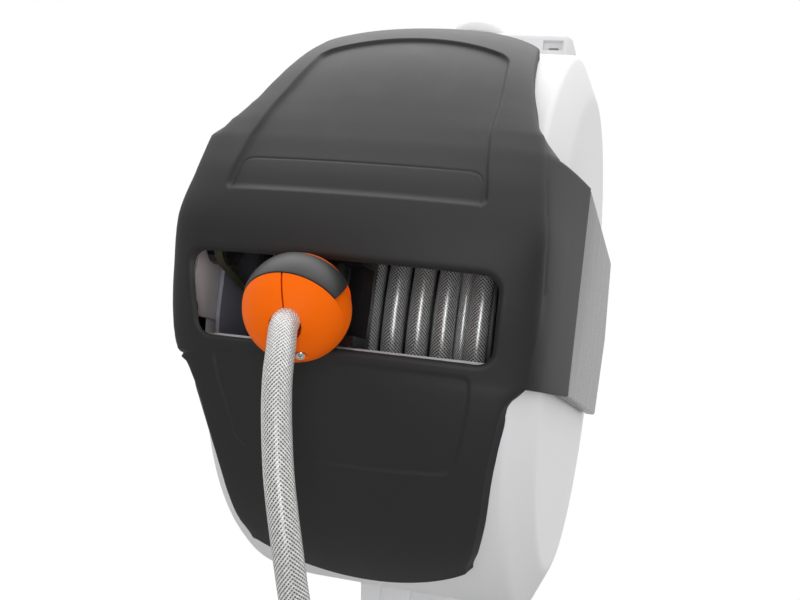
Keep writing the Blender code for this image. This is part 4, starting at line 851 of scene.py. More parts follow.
@dataclass(frozen=True)
class Studio:
    """A pale floor, a white surround and soft light from above."""

    floor_z: float = -0.75
    floor_size: float = 5.0
    floor_lift: float = 0.36
    sky_level: float = 0.82
    front_level: float = 0.21
    aim: Point3 = (0.03, -0.40, -0.02)

    def make(self) -> None:
        """Makes the world, the floor and the lamps."""
        bpy.context.scene.view_settings.view_transform = "Standard"
        self.make_world()
        self.make_floor()
        self.make_lamp("overhead_softbox", (0.0, -0.35, 1.9), (0.0, -0.25, 0.0), (2.4, 2.2), 7.0)
        self.make_lamp("left_softbox", (-1.9, -1.3, 0.7), (0.0, -0.25, 0.0), (1.0, 1.4), 0.7)
        self.make_lamp("front_strip", (0.34, -1.66, 0.0), self.aim, (0.07, 0.9), 3.0)
        gloss = self.make_lamp("front_gloss", (0.36, -1.72, 0.05), self.aim, (0.32, 0.9), 6.5)
        gloss.visible_diffuse = False

    def make_world(self) -> None:
        """Makes the surround: white behind and overhead, dimmer in gloss towards the front."""
        world = bpy.data.worlds.new("studio")
        world.use_nodes = True
        bpy.context.scene.world = world
        graph = Graph(world.node_tree)
        way = graph.add("ShaderNodeTexCoord").outputs["Generated"]
        parts = graph.add("ShaderNodeSeparateXYZ", i0=way)
        behind = graph.ramp(parts.outputs[1], -0.45, 0.25)
        above = graph.ramp(parts.outputs[2], 0.25, 0.85)
        overhead = graph.math("MULTIPLY", above, graph.math("MULTIPLY_ADD", behind, 2.6, 1.7))
        lit = graph.math("MAXIMUM", graph.math("MULTIPLY", behind, 0.9), overhead)
        glossy = graph.math("MULTIPLY_ADD", lit, 1.0 - self.front_level, self.front_level)
        rays = graph.add("ShaderNodeLightPath").outputs
        more = graph.math("SUBTRACT", glossy, self.sky_level)
        level = graph.math("MULTIPLY_ADD", rays["Is Glossy Ray"], more, self.sky_level)
        shown = graph.math("MAXIMUM", rays["Is Camera Ray"], rays["Is Transmission Ray"])
        level = graph.math("ADD", graph.math("MULTIPLY", level, graph.math("SUBTRACT", 1.0, shown)), shown)
        graph.feed(world.node_tree.nodes["Background"], {"Strength": level, "Color": rgba((1.0, 1.0, 1.0))})

    def make_floor(self) -> None:
        """Makes the pale floor well below the reel."""
        half = self.floor_size / 2
        floor = sheet("floor", [[(-half, y, self.floor_z), (half, y, self.floor_z)] for y in (-half, half)])
        material, graph, shader = new_material("floor_pale")
        seen = graph.add("ShaderNodeLightPath").outputs["Is Camera Ray"]
        graph.feed(shader, {
            "Roughness": 0.9,
            "Base Color": graph.blend(seen, (0.50, 0.50, 0.50, 1.0), (0.80, 0.80, 0.80, 1.0)),
            "Emission Color": rgba((1.0, 1.0, 1.0)),
            "Emission Strength": graph.math("MULTIPLY", seen, self.floor_lift),
        })
        floor.data.materials.append(material)

    def make_lamp(self, name: str, place: Point3, aim: Point3, size: Point2, power: float) -> Piece:
        """Makes a soft rectangular lamp.

        Args:
            name: The lamp's name.
            place: Where it stands.
            aim: What it points at.
            size: Its width and height.
            power: Its power in watts.

        Returns:
            The lamp.
        """
        data = bpy.data.lights.new(name, "AREA")
        data.shape = "RECTANGLE"
        data.size, data.size_y = size
        data.energy = power
        lamp = bpy.data.objects.new(name, data)
        bpy.context.scene.collection.objects.link(lamp)
        lamp.location = place
        lamp.rotation_mode = "QUATERNION"
        lamp.rotation_quaternion = (Vector(aim) - Vector(place)).to_track_quat("-Z", "Y")
        return lamp


# The front cover

# Each section: angle up from the front in degrees, radius, half width, corner, crown, the face's half
# width, how far its sides lag in degrees, and its shift to the right.
COVER_SECTIONS: tuple[tuple[float, ...], ...] = (
    (-58.5, 0.2110, 0.0700, 0.0035, 0.0030, 0.0580, -6.0, 0.0042),
    (-52.0, 0.2110, 0.0745, 0.0035, 0.0030, 0.0600, -5.0, 0.0042),
    (-42.0, 0.2110, 0.0800, 0.0035, 0.0030, 0.0640, -3.0, 0.0041),
    (-31.0, 0.2115, 0.0845, 0.0035, 0.0035, 0.0680, -1.5, 0.0035),
    (-22.5, 0.2125, 0.0897, 0.0045, 0.0040, 0.0730, -0.6, 0.0026),
    (-19.0, 0.2135, 0.0925, 0.0055, 0.0040, 0.0760, -0.4, 0.0020),
    (-16.5, 0.2145, 0.0955, 0.0070, 0.0045, 0.0775, -0.2, 0.0012),
    (-14.2, 0.2155, 0.1015, 0.0100, 0.0055, 0.0785, 0.0, 0.0006),
    (-12.7, 0.2160, 0.1100, 0.0150, 0.0070, 0.0790, 0.0, 0.0),
    (-9.5, 0.2178, 0.1118, 0.0170, 0.0075, 0.0800, 0.0, 0.0),
    (0.0, 0.2270, 0.1125, 0.0200, 0.0080, 0.0815, 0.0, 0.0),
    (8.0, 0.2310, 0.1118, 0.0160, 0.0075, 0.0810, 0.0, 0.0),
    (15.0, 0.2290, 0.1080, 0.0125, 0.0070, 0.0785, 0.0, 0.0),
    (20.0, 0.2255, 0.1055, 0.0090, 0.0060, 0.0755, 0.0, 0.0),
    (22.5, 0.2240, 0.1045, 0.0080, 0.0055, 0.0745, 0.0, 0.0),
    (25.5, 0.2220, 0.1020, 0.0065, 0.0050, 0.0725, 0.0, 0.0004),
    (28.0, 0.2207, 0.0968, 0.0055, 0.0045, 0.0718, 0.2, 0.0010),
    (31.0, 0.2195, 0.0928, 0.0050, 0.0045, 0.0710, 0.8, 0.0018),
    (38.0, 0.2180, 0.0885, 0.0050, 0.0045, 0.0690, 4.0, 0.0034),
    (50.0, 0.2170, 0.0815, 0.0050, 0.0045, 0.0650, 8.0, 0.0042),
    (60.0, 0.2160, 0.0775, 0.0050, 0.0045, 0.0620, 9.0, 0.0042),
    (68.0, 0.2155, 0.0750, 0.0050, 0.0045, 0.0600, 9.0, 0.0042),
)
# By angle, how far the left side lies inside its section, and how far its outline is filled out again.
LEFT_TRIM: tuple[Point2, ...] = (
    (-58.5, -0.0040), (-50.0, -0.0040), (-45.0, -0.0028), (-40.0, -0.0015), (-35.0, -0.0011),
    (-16.5, -0.0012), (-14.2, 0.0002), (-12.65, 0.0014), (-9.0, -0.0003), (0.0, 0.0004), (8.0, 0.0005),
    (15.0, 0.0016), (22.7, 0.0014), (26.5, 0.0054), (28.0, 0.0049), (31.0, 0.0033), (35.0, 0.0023),
    (38.0, 0.0012), (44.0, -0.0008), (50.0, -0.0016), (68.0, -0.0018),
)
LEFT_FILL: tuple[Point2, ...] = (
    (-14.8, 0.0), (-14.2, 0.0012), (-13.6, 0.0036), (-13.1, 0.0042), (-12.72, 0.0030), (-12.65, 0.0),
    (22.7, 0.0), (24.0, 0.0018), (25.5, 0.0007), (26.5, 0.0),
)
# Each shell's outside: radii about the axle and half widths.
PROFILES: dict[Side, tuple[Point2, ...]] = {
    Side.RIGHT: ((0.0, 0.114), (0.1705, 0.112), (0.200, 0.0989)),
    Side.LEFT: (
        (0.0, 0.1075), (0.150, 0.106), (0.1725, 0.102), (0.1875, 0.0935), (0.1965, 0.0825), (0.200, 0.055),
    ),
}


def table_value(table: Sequence[Point2], at: float) -> float:
    """A value between the rows of a table, by straight lines."""
    return float(np.interp(at, [row[0] for row in table], [row[1] for row in table]))


def body_radius(x: float) -> float:
    """The case's outer radius at a place across it."""
    profile = PROFILES[Side.RIGHT if x > 0 else Side.LEFT]
    return table_value([(-half, radius) for radius, half in profile], -abs(x))


def body_half(y: float, z: float, side: int) -> float:
    """The case's half width on one side, at a place seen from that side."""
    return table_value(PROFILES[Side(side)], math.hypot(y, z))


def past_corner(over: float, rise: float, corner: float) -> float:
    """How far a place lies outside a field, from how far it is past the centre of the field's corner."""
    return math.hypot(max(over, 0.0), max(rise, 0.0)) + min(max(over, rise), 0.0) - corner


def section_value(angle: float, column: int) -> float:
    """A size of the cover at an angle, on a smooth curve through its sections.

    Args:
        angle: The angle up from the front, in degrees.
        column: Which size of the sections.

    Returns:
        The size there.
    """
    xs = [section[0] for section in COVER_SECTIONS]
    ys = [section[column] for section in COVER_SECTIONS]
    angle = clamp(angle, xs[0], xs[-1])
    i = min(max(int(np.searchsorted(xs, angle)) - 1, 0), len(xs) - 2)

    def slope(k: int) -> float:
        """The curve's slope at a section, flat at the ends and where the size turns back.

        Args:
            k: The section's place in the list.

        Returns:
            The slope.
        """
        if k in (0, len(xs) - 1):
            return 0.0
        left = (ys[k] - ys[k - 1]) / (xs[k] - xs[k - 1])
        right = (ys[k + 1] - ys[k]) / (xs[k + 1] - xs[k])
        return 0.0 if left * right <= 0 else 2 * left * right / (left + right)

    width = xs[i + 1] - xs[i]
    t = (angle - xs[i]) / width
    start = (2 * t**3 - 3 * t**2 + 1) * ys[i] + (t**3 - 2 * t**2 + t) * width * slope(i)
    return start + (3 * t**2 - 2 * t**3) * ys[i + 1] + (t**3 - t**2) * width * slope(i + 1)


@dataclass
class Recess:
    """A shallow field sunk into the cover, between two angles, with rounded corners."""

    top: float
    bottom: float
    corner_top: float
    corner_bottom: float
    depth: float = 0.0026
    step: float = 0.0034

    def sunk(self, angle: float, x: float, half: float) -> float:
        """How deep the field is at a place, in metres."""
        share = clamp(-self.outside(angle, x, half) / self.step)
        return self.depth * share * share * (3 - 2 * share)

    def outside(self, angle: float, x: float, half: float) -> float:
        """How far a place lies outside the field's edge.

        Args:
            angle: The angle up from the front, in degrees.
            x: The distance from the section's middle.
            half: The field's half width there.

        Returns:
            The distance, negative inside the field.
        """
        tall = math.radians(self.top - self.bottom) * BODY_RADIUS / 2
        up = math.radians(angle - (self.top + self.bottom) / 2) * BODY_RADIUS
        corner = self.corner_top if up > 0 else self.corner_bottom
        return past_corner(abs(x) - (half - corner), abs(up) - (tall - corner), corner)


@dataclass
class FrontCover:
    """The moulded front cover with its window, two recesses and side flaps."""

    wall: float = 0.003
    edge: float = 0.0011
    exponent: float = 2.6
    low_angle: float = -58.5
    high_angle: float = 68.0
    ledge_top: float = 0.0865
    ledge_bottom: float = -0.0473
    seam_half: float = 0.123
    seam_top_y: float = -0.110
    seam_bottom_y: float = -0.116
    window_top: float = 0.0115
    window_bottom: float = -0.0368
    window_right_top: float = 0.0905
    window_left_top: float = 0.0950
    window_half_bottom: float = 0.0885
    window_corner: float = 0.009
    window_roll: float = 0.0042
    window_near: float = 0.02
    flare: float = 0.0045
    flare_height: float = 0.0065
    wall_reach: float = 0.09
    tuck: float = 0.0002
    fill_from: float = 0.085
    fill_run: float = 0.02
    strip_inset: float = 0.0045
    strip_depth: float = 0.0005
    strip_reach: float = 0.0008
    side_columns: int = 30
    flap_columns: int = 14
    blend_above: float = 26.5
    blend_below: float = -14.0
    strip: Recess = field(default_factory=lambda: Recess(18.0, 6.0, 0.006, 0.005))
    upper: Recess = field(default_factory=lambda: Recess(54.6, 12.2, 0.010, 0.005))
    lower: Recess = field(default_factory=lambda: Recess(-11.4, -29.8, 0.006, 0.010, 0.0009, 0.0030))

    def __post_init__(self) -> None:
        """Finds the angles of the flaps' ledges."""
        self.top_angle = self.ledge_angle(self.ledge_top)
        self.bottom_angle = self.ledge_angle(self.ledge_bottom)

    def ledge_angle(self, height: float) -> float:
        """The angle at which the cover's middle line stands at a height.

        Args:
            height: The height above the axle.

        Returns:
            The angle, in degrees.
        """
        low, high = -30.0, 40.0
        for _ in range(40):
            angle = (low + high) / 2
            if section_value(angle, 1) * math.sin(math.radians(angle)) < height:
                low = angle
            else:
                high = angle
        return angle

    def lean(self, angle: float) -> float:
        """How far a section's walls lean from straight back, in radians."""
        return math.radians(max(angle - 26.0, 0.0) * 1.5 + min(angle + 12.8, 0.0) * 1.2)

    def point(self, angle: float, x: float, depth: float) -> Point3:
        """The place at a distance from the middle and a depth behind it.

        Args:
            angle: The section's angle, in degrees.
            x: The distance from the section's middle.
            depth: The depth behind the section's middle.

        Returns:
            The place about the axle.
        """
        radius = section_value(angle, 1)
        share = min(abs(x) / section_value(angle, 2), 1.0)
        swept = angle - section_value(angle, 6) * share**2
        around, lean = math.radians(swept), self.lean(swept)
        y = -radius * math.cos(around) + depth * math.cos(lean)
        return (x + section_value(angle, 7), y, radius * math.sin(around) - depth * math.sin(lean))

    def drop(self, angle: float, x: float) -> float:
        """How far the face lies behind the section's middle, at x.

        Args:
            angle: The section's angle.
            x: The distance from the section's middle.

        Returns:
            The depth.
        """
        share = min(abs(x) / section_value(angle, 2), 1.0)
        corner = 1.0 - (1.0 - share**self.exponent) ** (1.0 / self.exponent)
        return section_value(angle, 4) * share**2 + section_value(angle, 3) * corner

    def window_half(self, height: float, side: int) -> float:
        """The window's half width on one side, at a height.

        Args:
            height: The height above the axle.
            side: The side, -1 or 1.

        Returns:
            The half width.
        """
        top = self.window_right_top if side > 0 else self.window_left_top
        share = (height - self.window_bottom) / (self.window_top - self.window_bottom)
        return self.window_half_bottom + clamp(share, -0.2, 1.2) * (top - self.window_half_bottom)

    def rolled(self, x: float, z: float) -> float:
        """How far the skin rolls inwards near the window's edge.

        Args:
            x: The place across.
            z: The height.

        Returns:
            The extra depth.
        """
        middle = (self.window_top + self.window_bottom) / 2
        tall = (self.window_top - self.window_bottom) / 2
        corner, roll = self.window_corner, self.window_roll
        over = abs(x) - (self.window_half(z, 1 if x > 0 else -1) - corner)
        near = clamp(roll - past_corner(over, abs(z - middle) - (tall - corner), corner), 0.0, roll * 0.96)
        return roll - math.sqrt(roll**2 - near**2)

    def side_path(self, angle: float, beside: bool, trim: float) -> list[Point2]:
        """Points from the recess's edge round the corner and down the side wall.

        Args:
            angle: The section's angle.
            beside: Whether the wall goes on to the seam.
            trim: How far the corner lies inside its section's own.

        Returns:
            Distances from the middle and depths.
        """
        half, corner, edge = (section_value(angle, column) for column in (2, 3, 5))
        start = math.asin((edge / half) ** (self.exponent / 2))
        path = []
        for i in range(61):
            turn = start + (math.pi / 2 - start) * i / 60
            x = half * math.sin(turn) ** (2 / self.exponent)
            path.append((x - trim * (x - edge) / (half - edge), self.drop(angle, x)))
        deep = corner + section_value(angle, 4)
        _, middle_y, middle_z = self.point(angle, 0, 0)
        seam = max(self.seam_half, half)
        share_z = (middle_z - self.ledge_bottom) / (self.ledge_top - self.ledge_bottom)
        seam_y = self.seam_bottom_y + share_z * (self.seam_top_y - self.seam_bottom_y)
        reach = seam_y - middle_y if beside else deep + self.wall_reach
        flare = self.flare * clamp((-13.0 - angle) / 7.0)
        for i in range(1, 181):
            share = i / 180
            if beside:
                x = half + (seam - half) * share**0.6 - trim * (1.0 - share)
            else:
                x = half + flare * min(share * self.wall_reach / self.flare_height, 1.0) - trim
            path.append((x, deep + (reach - deep) * share))
        return path

    def side_points(self, angle: float, side: int, beside: bool) -> tuple[list[Point3], list[Point3]]:
        """A side's points: those down to the case, then those to the seam.

        Args:
            angle: The section's angle.
            side: The side, -1 or 1.
            beside: Whether the wall goes on to the seam.

        Returns:
            The two lists of places about the axle.
        """
        trim = table_value(LEFT_TRIM, angle) if side < 0 else 0.0
        places = [self.point(angle, side * x, depth) for x, depth in self.side_path(angle, beside, trim)]
        if beside:
            split = -math.sqrt(BODY_RADIUS**2 - places[0][2] ** 2)
            at = next(i for i, place in enumerate(places) if place[1] >= split)
            return evenly(places[: at + 1], self.side_columns), evenly(places[at:], self.flap_columns)[1:]
        at = len(places) - 1
        for i, (x, y, z) in enumerate(places):
            inner = max(abs(x) - self.wall - GAP, 0.001)
            if math.hypot(y, z) <= body_radius(math.copysign(inner, x)) + self.tuck:
                at = i
                break
        return evenly(places[: at + 1], self.side_columns), []

    def raw_row(self, angle: float, beside: bool) -> tuple[list[Point3], list[Point3], list[Point3]]:
        """One row of the skin, before it is blended: the shared points and the two flaps'.

        Args:
            angle: The row's angle.
            beside: Whether the walls go on to the seams.

        Returns:
            The shared points, the left flap's and the right flap's.
        """
        edge = section_value(angle, 5)
        shares = [*(i / 24 * 0.90 for i in range(25)), *(0.90 + 0.10 * i / 16 for i in range(1, 17))]
        face = [(edge * share, self.drop(angle, edge * share)) for share in shares]
        right, right_flap = self.side_points(angle, 1, beside)
        left, left_flap = self.side_points(angle, -1, beside)
        middle = [self.point(angle, -x, depth) for x, depth in reversed(face[1:])]
        middle += [self.point(angle, x, depth) for x, depth in face]
        return [*reversed(left[1:]), *middle, *right[1:]], left_flap, right_flap

    def row(self, angle: float) -> tuple[list[Point3], list[Point3], list[Point3]]:
        """One finished row of the skin, with its recess and its roll round the window.

        Args:
            angle: The row's angle.

        Returns:
            The shared points and the two flaps' points, about the axle.
        """
        beside = self.bottom_angle - 1e-6 <= angle <= self.top_angle + 1e-6
        ledge, blend = (
            (self.top_angle, self.blend_above) if angle > 0 else (self.bottom_angle, self.blend_below)
        )
        share = (angle - ledge) / (blend - ledge)
        if not beside and 0.0 < share < 1.0:
            row = self.mixed(self.raw_row(ledge, True)[0], self.raw_row(blend, False)[0], share)
            flaps: tuple[list[Point3], list[Point3]] = ([], [])
        else:
            row, *flaps = self.raw_row(angle, beside)
        edge, shift = section_value(angle, 5), section_value(angle, 7)
        recess = self.upper if angle > 0 else self.lower
        lean = self.lean(angle)
        fill = table_value(LEFT_FILL, angle)
        made = []
        for x, y, z in row:
            inward = recess.sunk(angle, x - shift, edge) if abs(x - shift) <= edge else 0.0
            if self.upper.bottom < angle:
                beyond = abs(self.strip.outside(angle, x - shift, edge - self.strip_inset))
                inward += self.strip_depth * max(1.0 - beyond / self.strip_reach, 0.0)
            if self.window_bottom - self.window_near < z < self.window_top + self.window_near and y < -0.15:
                inward += self.rolled(x, z)
            x -= fill * clamp((-x - self.fill_from) / self.fill_run)
            made.append((x, y + inward * math.cos(lean), z - inward * math.sin(lean)))
        return made, *flaps

    def mixed(self, low: list[Point3], high: list[Point3], share: float) -> list[Point3]:
        """A row part of the way between two others."""
        pairs = zip(low, high, strict=True)
        return [tuple(a + (b - a) * share for a, b in zip(p, q, strict=True)) for p, q in pairs]

    def row_angles(self) -> list[float]:
        """The rows' angles, close together where the skin steps or rolls.

        Returns:
            The angles, in degrees, from the bottom up.
        """
        fine = [self.upper.top, self.upper.bottom, self.lower.top, self.lower.bottom, self.strip.top]
        fine += [self.ledge_angle(self.window_top), self.ledge_angle(self.window_bottom)]
        angles = [self.low_angle]
        while angles[-1] < self.high_angle:
            near = min(abs(angles[-1] + 0.3 - centre) for centre in fine)
            angles.append(angles[-1] + (0.17 if near < 0.85 else 0.36 if near < 2.2 else 0.62))
        angles[-1] = self.high_angle
        for fixed in (self.top_angle, self.bottom_angle, self.blend_above, self.blend_below):
            closest = min(range(len(angles)), key=lambda i: abs(angles[i] - fixed))
            angles[closest] = fixed
        return angles

    def skin(self) -> Piece:
        """The cover's open outer skin: its face, its corners and walls, and its sides' ledges.

        Returns:
            The open skin, about the axle.
        """
        rows = [(angle, *self.row(angle)) for angle in self.row_angles()]
        cover = sheet("moulded_cover", [row for _, row, _, _ in rows])
        beside = [(row, left, right) for _, row, left, right in rows if left]
        strips = [
            sheet("right_flap", [[row[-1], *right] for row, _, right in beside]),
            sheet("left_flap", [[*reversed(left), row[0]] for row, left, _ in beside]),
        ]
        for (row, left, right), up in ((beside[0], -1), (beside[-1], 1)):
            for line, side in (([row[0], *left], -1), ([row[-1], *right], 1)):
                inner = [line[0], *((side * (body_half(y, z, side) + GAP), y, z) for _, y, z in line[1:])]
                across = [self.mixed(inner, line, share) for share in (0.0, 0.33, 0.66, 1.0)]
                if up * side > 0:
                    across.reverse()
                strips.append(sheet(f"ledge_{up}_{side}", across))

        def stitch() -> None:
            """Merges the strips' shared edges."""
            bpy.ops.mesh.remove_doubles(threshold=0.00001)

        return in_edit_mode(joined(cover, strips), stitch)

    def make(self, bench: Bench) -> None:
        """Builds the cover and hands it over.

        Args:
            bench: The workbench.
        """
        cover = bevelled(self.skin(), self.edge, 2, 42.0)
        modified(
            cover, "SOLIDIFY", thickness=self.wall, offset=-1.0, use_even_offset=True, thickness_clamp=1.0
        )
        cover.data.transform(Matrix.Translation(AXLE))
        carved(cover, self.window_cutter(), solver="MANIFOLD")
        smoothed(cover, 40.0)
        bench.finish(cover, "cover_charcoal", Body.HOUSING, ["front_cover"], "charcoal_plastic")

    def window_cutter(self) -> Piece:
        """The solid that cuts the window.

        Returns:
            The solid.
        """
        low, high = self.window_bottom, self.window_top
        around = ((-1, low), (1, low), (1, high), (-1, high))
        corners = [(side * self.window_half(z, side), z) for side, z in around]
        outline = [(x, AXLE.y - 0.26, z) for x, z in rounded(corners, self.window_corner)]
        return prism("window_cutter", outline, Vector((0.0, 0.11, 0.0)))


# The case


@dataclass
class Case:
    """The two drum-shaped shells, the side wings, the swivel bridge and the foot."""

    shell_wall: float = 0.003
    profile_reach: float = 0.0128
    steps: int = 192
    opening_half: float = 0.100
    opening_top: float = 0.070
    opening_bottom: float = -0.0352
    cheek_low: Point3 = (-0.1020, -0.455, -0.0262)
    cheek_high: Point3 = (-0.0975, -0.415, 0.0690)
    inlet: Point3 = (0.060, -0.135, 0.0)
    inlet_radius: float = 0.0103
    wing_wall: float = 0.003
    wing_corner: float = 0.006
    wing_rear_half: float = 0.1222
    moulded_edge: float = 0.0012

    def make(self, bench: Bench) -> None:
        """Builds the case's pieces and hands them over.

        Args:
            bench: The workbench.
        """
        for side in (Side.RIGHT, Side.LEFT):
            self.make_shell(bench, side)
        for side in (Side.RIGHT, Side.LEFT):
            self.make_wing(bench, side)
        for node in ("top_bridge", "bottom_foot"):
            piece = moulded(node, self.moulded_edge)
            bench.finish(piece, "case_white", Body.HOUSING, [node], "white_plastic")

    def eased(self, profile: Sequence[Point2]) -> list[Point2]:
        """A profile, listed from the axis out, with its inner corners rounded.

        Args:
            profile: The profile's points, from the axis out.

        Returns:
            The rounded profile.
        """
        made = [profile[0]]
        for before, corner, after in zip(profile, profile[1:], profile[2:], strict=False):
            here = Vector(corner)
            back, ahead = Vector(before) - here, Vector(after) - here
            reach = min(back.length, ahead.length, self.profile_reach) * 0.35
            first, last = here + back.normalized() * reach, here + ahead.normalized() * reach
            for t in (0.0, 0.25, 0.5, 0.75, 1.0):
                made.append(tuple(first * (1 - t) ** 2 + here * 2 * t * (1 - t) + last * t**2))
        return [*made, profile[-1]]

    def make_shell(self, bench: Bench, side: Side) -> None:
        """Builds one half of the case.

        Args:
            bench: The workbench.
            side: Which half.
        """
        outer = self.eased([*PROFILES[side], (BODY_RADIUS, GAP / 2)])
        inner = [(max(r - self.shell_wall, 0.0), max(x - self.shell_wall, GAP / 2)) for r, x in outer]
        inner[0] = (0.0, outer[0][1] - self.shell_wall)
        closed = [(r, side.value * x) for r, x in [*outer, *reversed(inner)]]
        shell = lathed(f"case_shell_{side.label}", closed, AXLE, ACROSS, self.steps)
        near, far = sorted((-side.value * 0.01, side.value * self.opening_half))
        front, back = AXLE.y - BODY_RADIUS - 0.02, AXLE.y - 0.10
        carved(shell, block("opening", (near, front, self.opening_bottom), (far, back, self.opening_top)))
        if side is Side.LEFT:
            carved(shell, bevelled(block("cheek", self.cheek_low, self.cheek_high), 0.0008), "UNION")
        else:
            up = Vector((0.0, 0.0, 1.0))
            carved(shell, rod("inlet_hole", self.inlet_radius, -0.13, -0.20, Vector(self.inlet), up, 32))
        smoothed(shell, 24.0)
        bench.finish(shell, "case_white", Body.HOUSING, [f"{side.label}_shell"], "white_plastic")

    def make_wing(self, bench: Bench, side: Side) -> None:
        """Builds one side wing.

        Args:
            bench: The workbench.
            side: Which wing.
        """
        cover = FrontCover()
        # Each corner, and which way its insets go.
        corners = (
            (cover.seam_bottom_y + 0.0005, cover.ledge_bottom, 1, 1),
            (0.140, -0.0575, -1, 1), (0.170, 0.010, -1, 0), (0.146, 0.0765, -1, -1),
            (cover.seam_top_y + 0.0005, cover.ledge_top, 1, -1),
        )
        rear_y = corners[2][0]
        inner = PROFILES[side][0][1] + GAP

        def outline(inset: float, flat: bool) -> list[Point3]:
            """The wing's outline at an inset, on its outer face or flat on the shell.

            Args:
                inset: How far it lies inside the wing's own.
                flat: Whether it lies on the shell.

            Returns:
                The outline's places.
            """
            drawn = [(y + inset * along, z + inset * up) for y, z, along, up in corners]
            points = []
            for y, z in rounded(drawn, self.wing_corner - inset * 0.6):
                rear = max((y - cover.seam_top_y) / (rear_y - cover.seam_top_y), 0.0)
                half = cover.seam_half + rear * (self.wing_rear_half - cover.seam_half) - inset
                points.append((side.value * (inner if flat else half), AXLE.y + y, z))
            return points

        def solid(name: str, inset: float, low: float) -> Piece:
            """The solid from the outer face at an inset down to a height over the middle plane.

            Args:
                name: The solid's name.
                inset: How far it lies inside the wing.
                low: The height of its flat side.

            Returns:
                The solid.
            """
            outer, flat = outline(inset, False), outline(inset, True)
            made = prism(name, outer, Vector((side.value * -0.005, 0.0, 0.0)))
            places = [tuple(vertex.co) for vertex in made.data.vertices]
            for i, place in enumerate(places):
                nearest = min(range(len(outer)), key=lambda k: math.dist(outer[k][1:], place[1:]))
                at_front = abs(place[0] - outer[nearest][0]) < 0.002
                places[i] = outer[nearest] if at_front else (side.value * low, *flat[nearest][1:])
            place_vertices(made, places)
            return made

        wing = bevelled(solid(f"side_wing_{side.label}", 0.0, inner), 0.0016, 3, 50.0)
        carved(wing, solid("hollow", self.wing_wall, inner - 0.01))
        smoothed(wing, 35.0)
        bench.finish(wing, "wing_charcoal", Body.HOUSING, [f"{side.label}_wing"], "grey_plastic")


# The drum and what turns with it


@dataclass
class Drum:
    """The drum with its flanges, hub, pulley and the outer layer of hose."""

    winding_radius: float = 0.142
    wound_radius: float = 0.0071
    first_x: float = -0.0675
    pitch: float = 0.0161
    even_turns: float = 7.0
    last_pitch: float = 0.0223
    turns: float = 8.25
    per_turn: int = 96
    under_radius: float = 0.0043
    under_x: float = 0.05635
    under_lean: float = 0.0031
    under_start: float = -0.62
    under_end: float = 0.17
    under_steps: int = 40
    loop_points: int = 24
    barrel_wall: float = 0.003
    flange_radius: float = 0.160
    flange_inside: float = 0.0765
    flange_thickness: float = 0.003
    flange_edge: float = 0.0006
    hub_radius: float = 0.0165

    def __post_init__(self) -> None:
        """Finds the radius that the wound hose lies on."""
        self.floor_radius = self.winding_radius * math.cos(math.pi / self.loop_points) - self.wound_radius

    def make(self, bench: Bench) -> None:
        """Builds the drum's pieces and hands them over.

        Args:
            bench: The workbench.
        """
        outside, inside = self.floor_radius - GAP, self.flange_inside - GAP
        bore = outside - self.barrel_wall
        profile = [(outside, inside), (outside, -inside), (bore, -inside), (bore, inside)]
        piece = smoothed(lathed("winding_barrel", profile, AXLE, ACROSS, 128))
        bench.finish(piece, "drum_black", Body.DRUM, ["drum_barrel"], "black_plastic")
        rim, bore, edge = self.flange_radius, self.hub_radius + GAP, self.flange_edge
        near, far = self.flange_inside, self.flange_inside + self.flange_thickness
        section = (
            (rim - edge, far), (rim, far - edge), (rim, near + edge), (rim - edge, near),
            (bore, near), (bore, far),
        )
        for side in Side:
            profile = [(radius, side.value * x) for radius, x in section]
            piece = smoothed(lathed(f"drum_flange_{side.label}", profile, AXLE, ACROSS, 160))
            bench.finish(piece, "flange_grey", Body.DRUM, [f"{side.label}_flange"], "satin_black")
        winding = joined(self.winding(), [self.lower_turn()])
        bench.finish(winding, "hose_wound_shaded", Body.DRUM, ["hose_winding"], "braided_hose")
        bench.keep("case_white", "drum_hub", "drum_pulley", "ratchet_wheel")
        bench.keep("connector_grey", "spring_case", "spring_lid")
        bench.keep("steel_pin", "power_spring")

    def outward(self, point: Vector) -> Vector:
        """The way straight out from the drum's axis at a point."""
        return Vector((0.0, point.y - AXLE.y, point.z - AXLE.z))

    def around(self, x: float, radius: float, angle: float) -> Vector:
        """A place on the drum, at a radius and an angle up from the front."""
        return AXLE + Vector((x, -radius * math.cos(angle), radius * math.sin(angle)))

    def winding(self) -> Piece:
        """The outer layer of hose, one unbroken helix across the drum, with its last turn wider.

        Returns:
            The winding.
        """
        points = []
        for i in range(round(self.turns * self.per_turn) + 1):
            turn = i / self.per_turn
            wider = clamp(turn - self.even_turns)
            x = self.first_x + self.pitch * min(turn, self.even_turns) + self.last_pitch * wider
            points.append(self.around(x, self.winding_radius, 2 * math.pi * turn))
        return hose_mesh("braided_winding", points, self.wound_radius, self.outward)

    def lower_turn(self) -> Piece:
        """The stretch of the layer below that shows between the last two turns.

        Returns:
            The stretch of hose.
        """
        radius = self.floor_radius + self.under_radius
        points = []
        for i in range(self.under_steps + 1):
            angle = self.under_start + (self.under_end - self.under_start) * i / self.under_steps
            points.append(self.around(self.under_x + self.under_lean * min(angle, 0.0), radius, angle))
        return hose_mesh("lower_turn", points, self.under_radius, self.outward)


# The hose guide


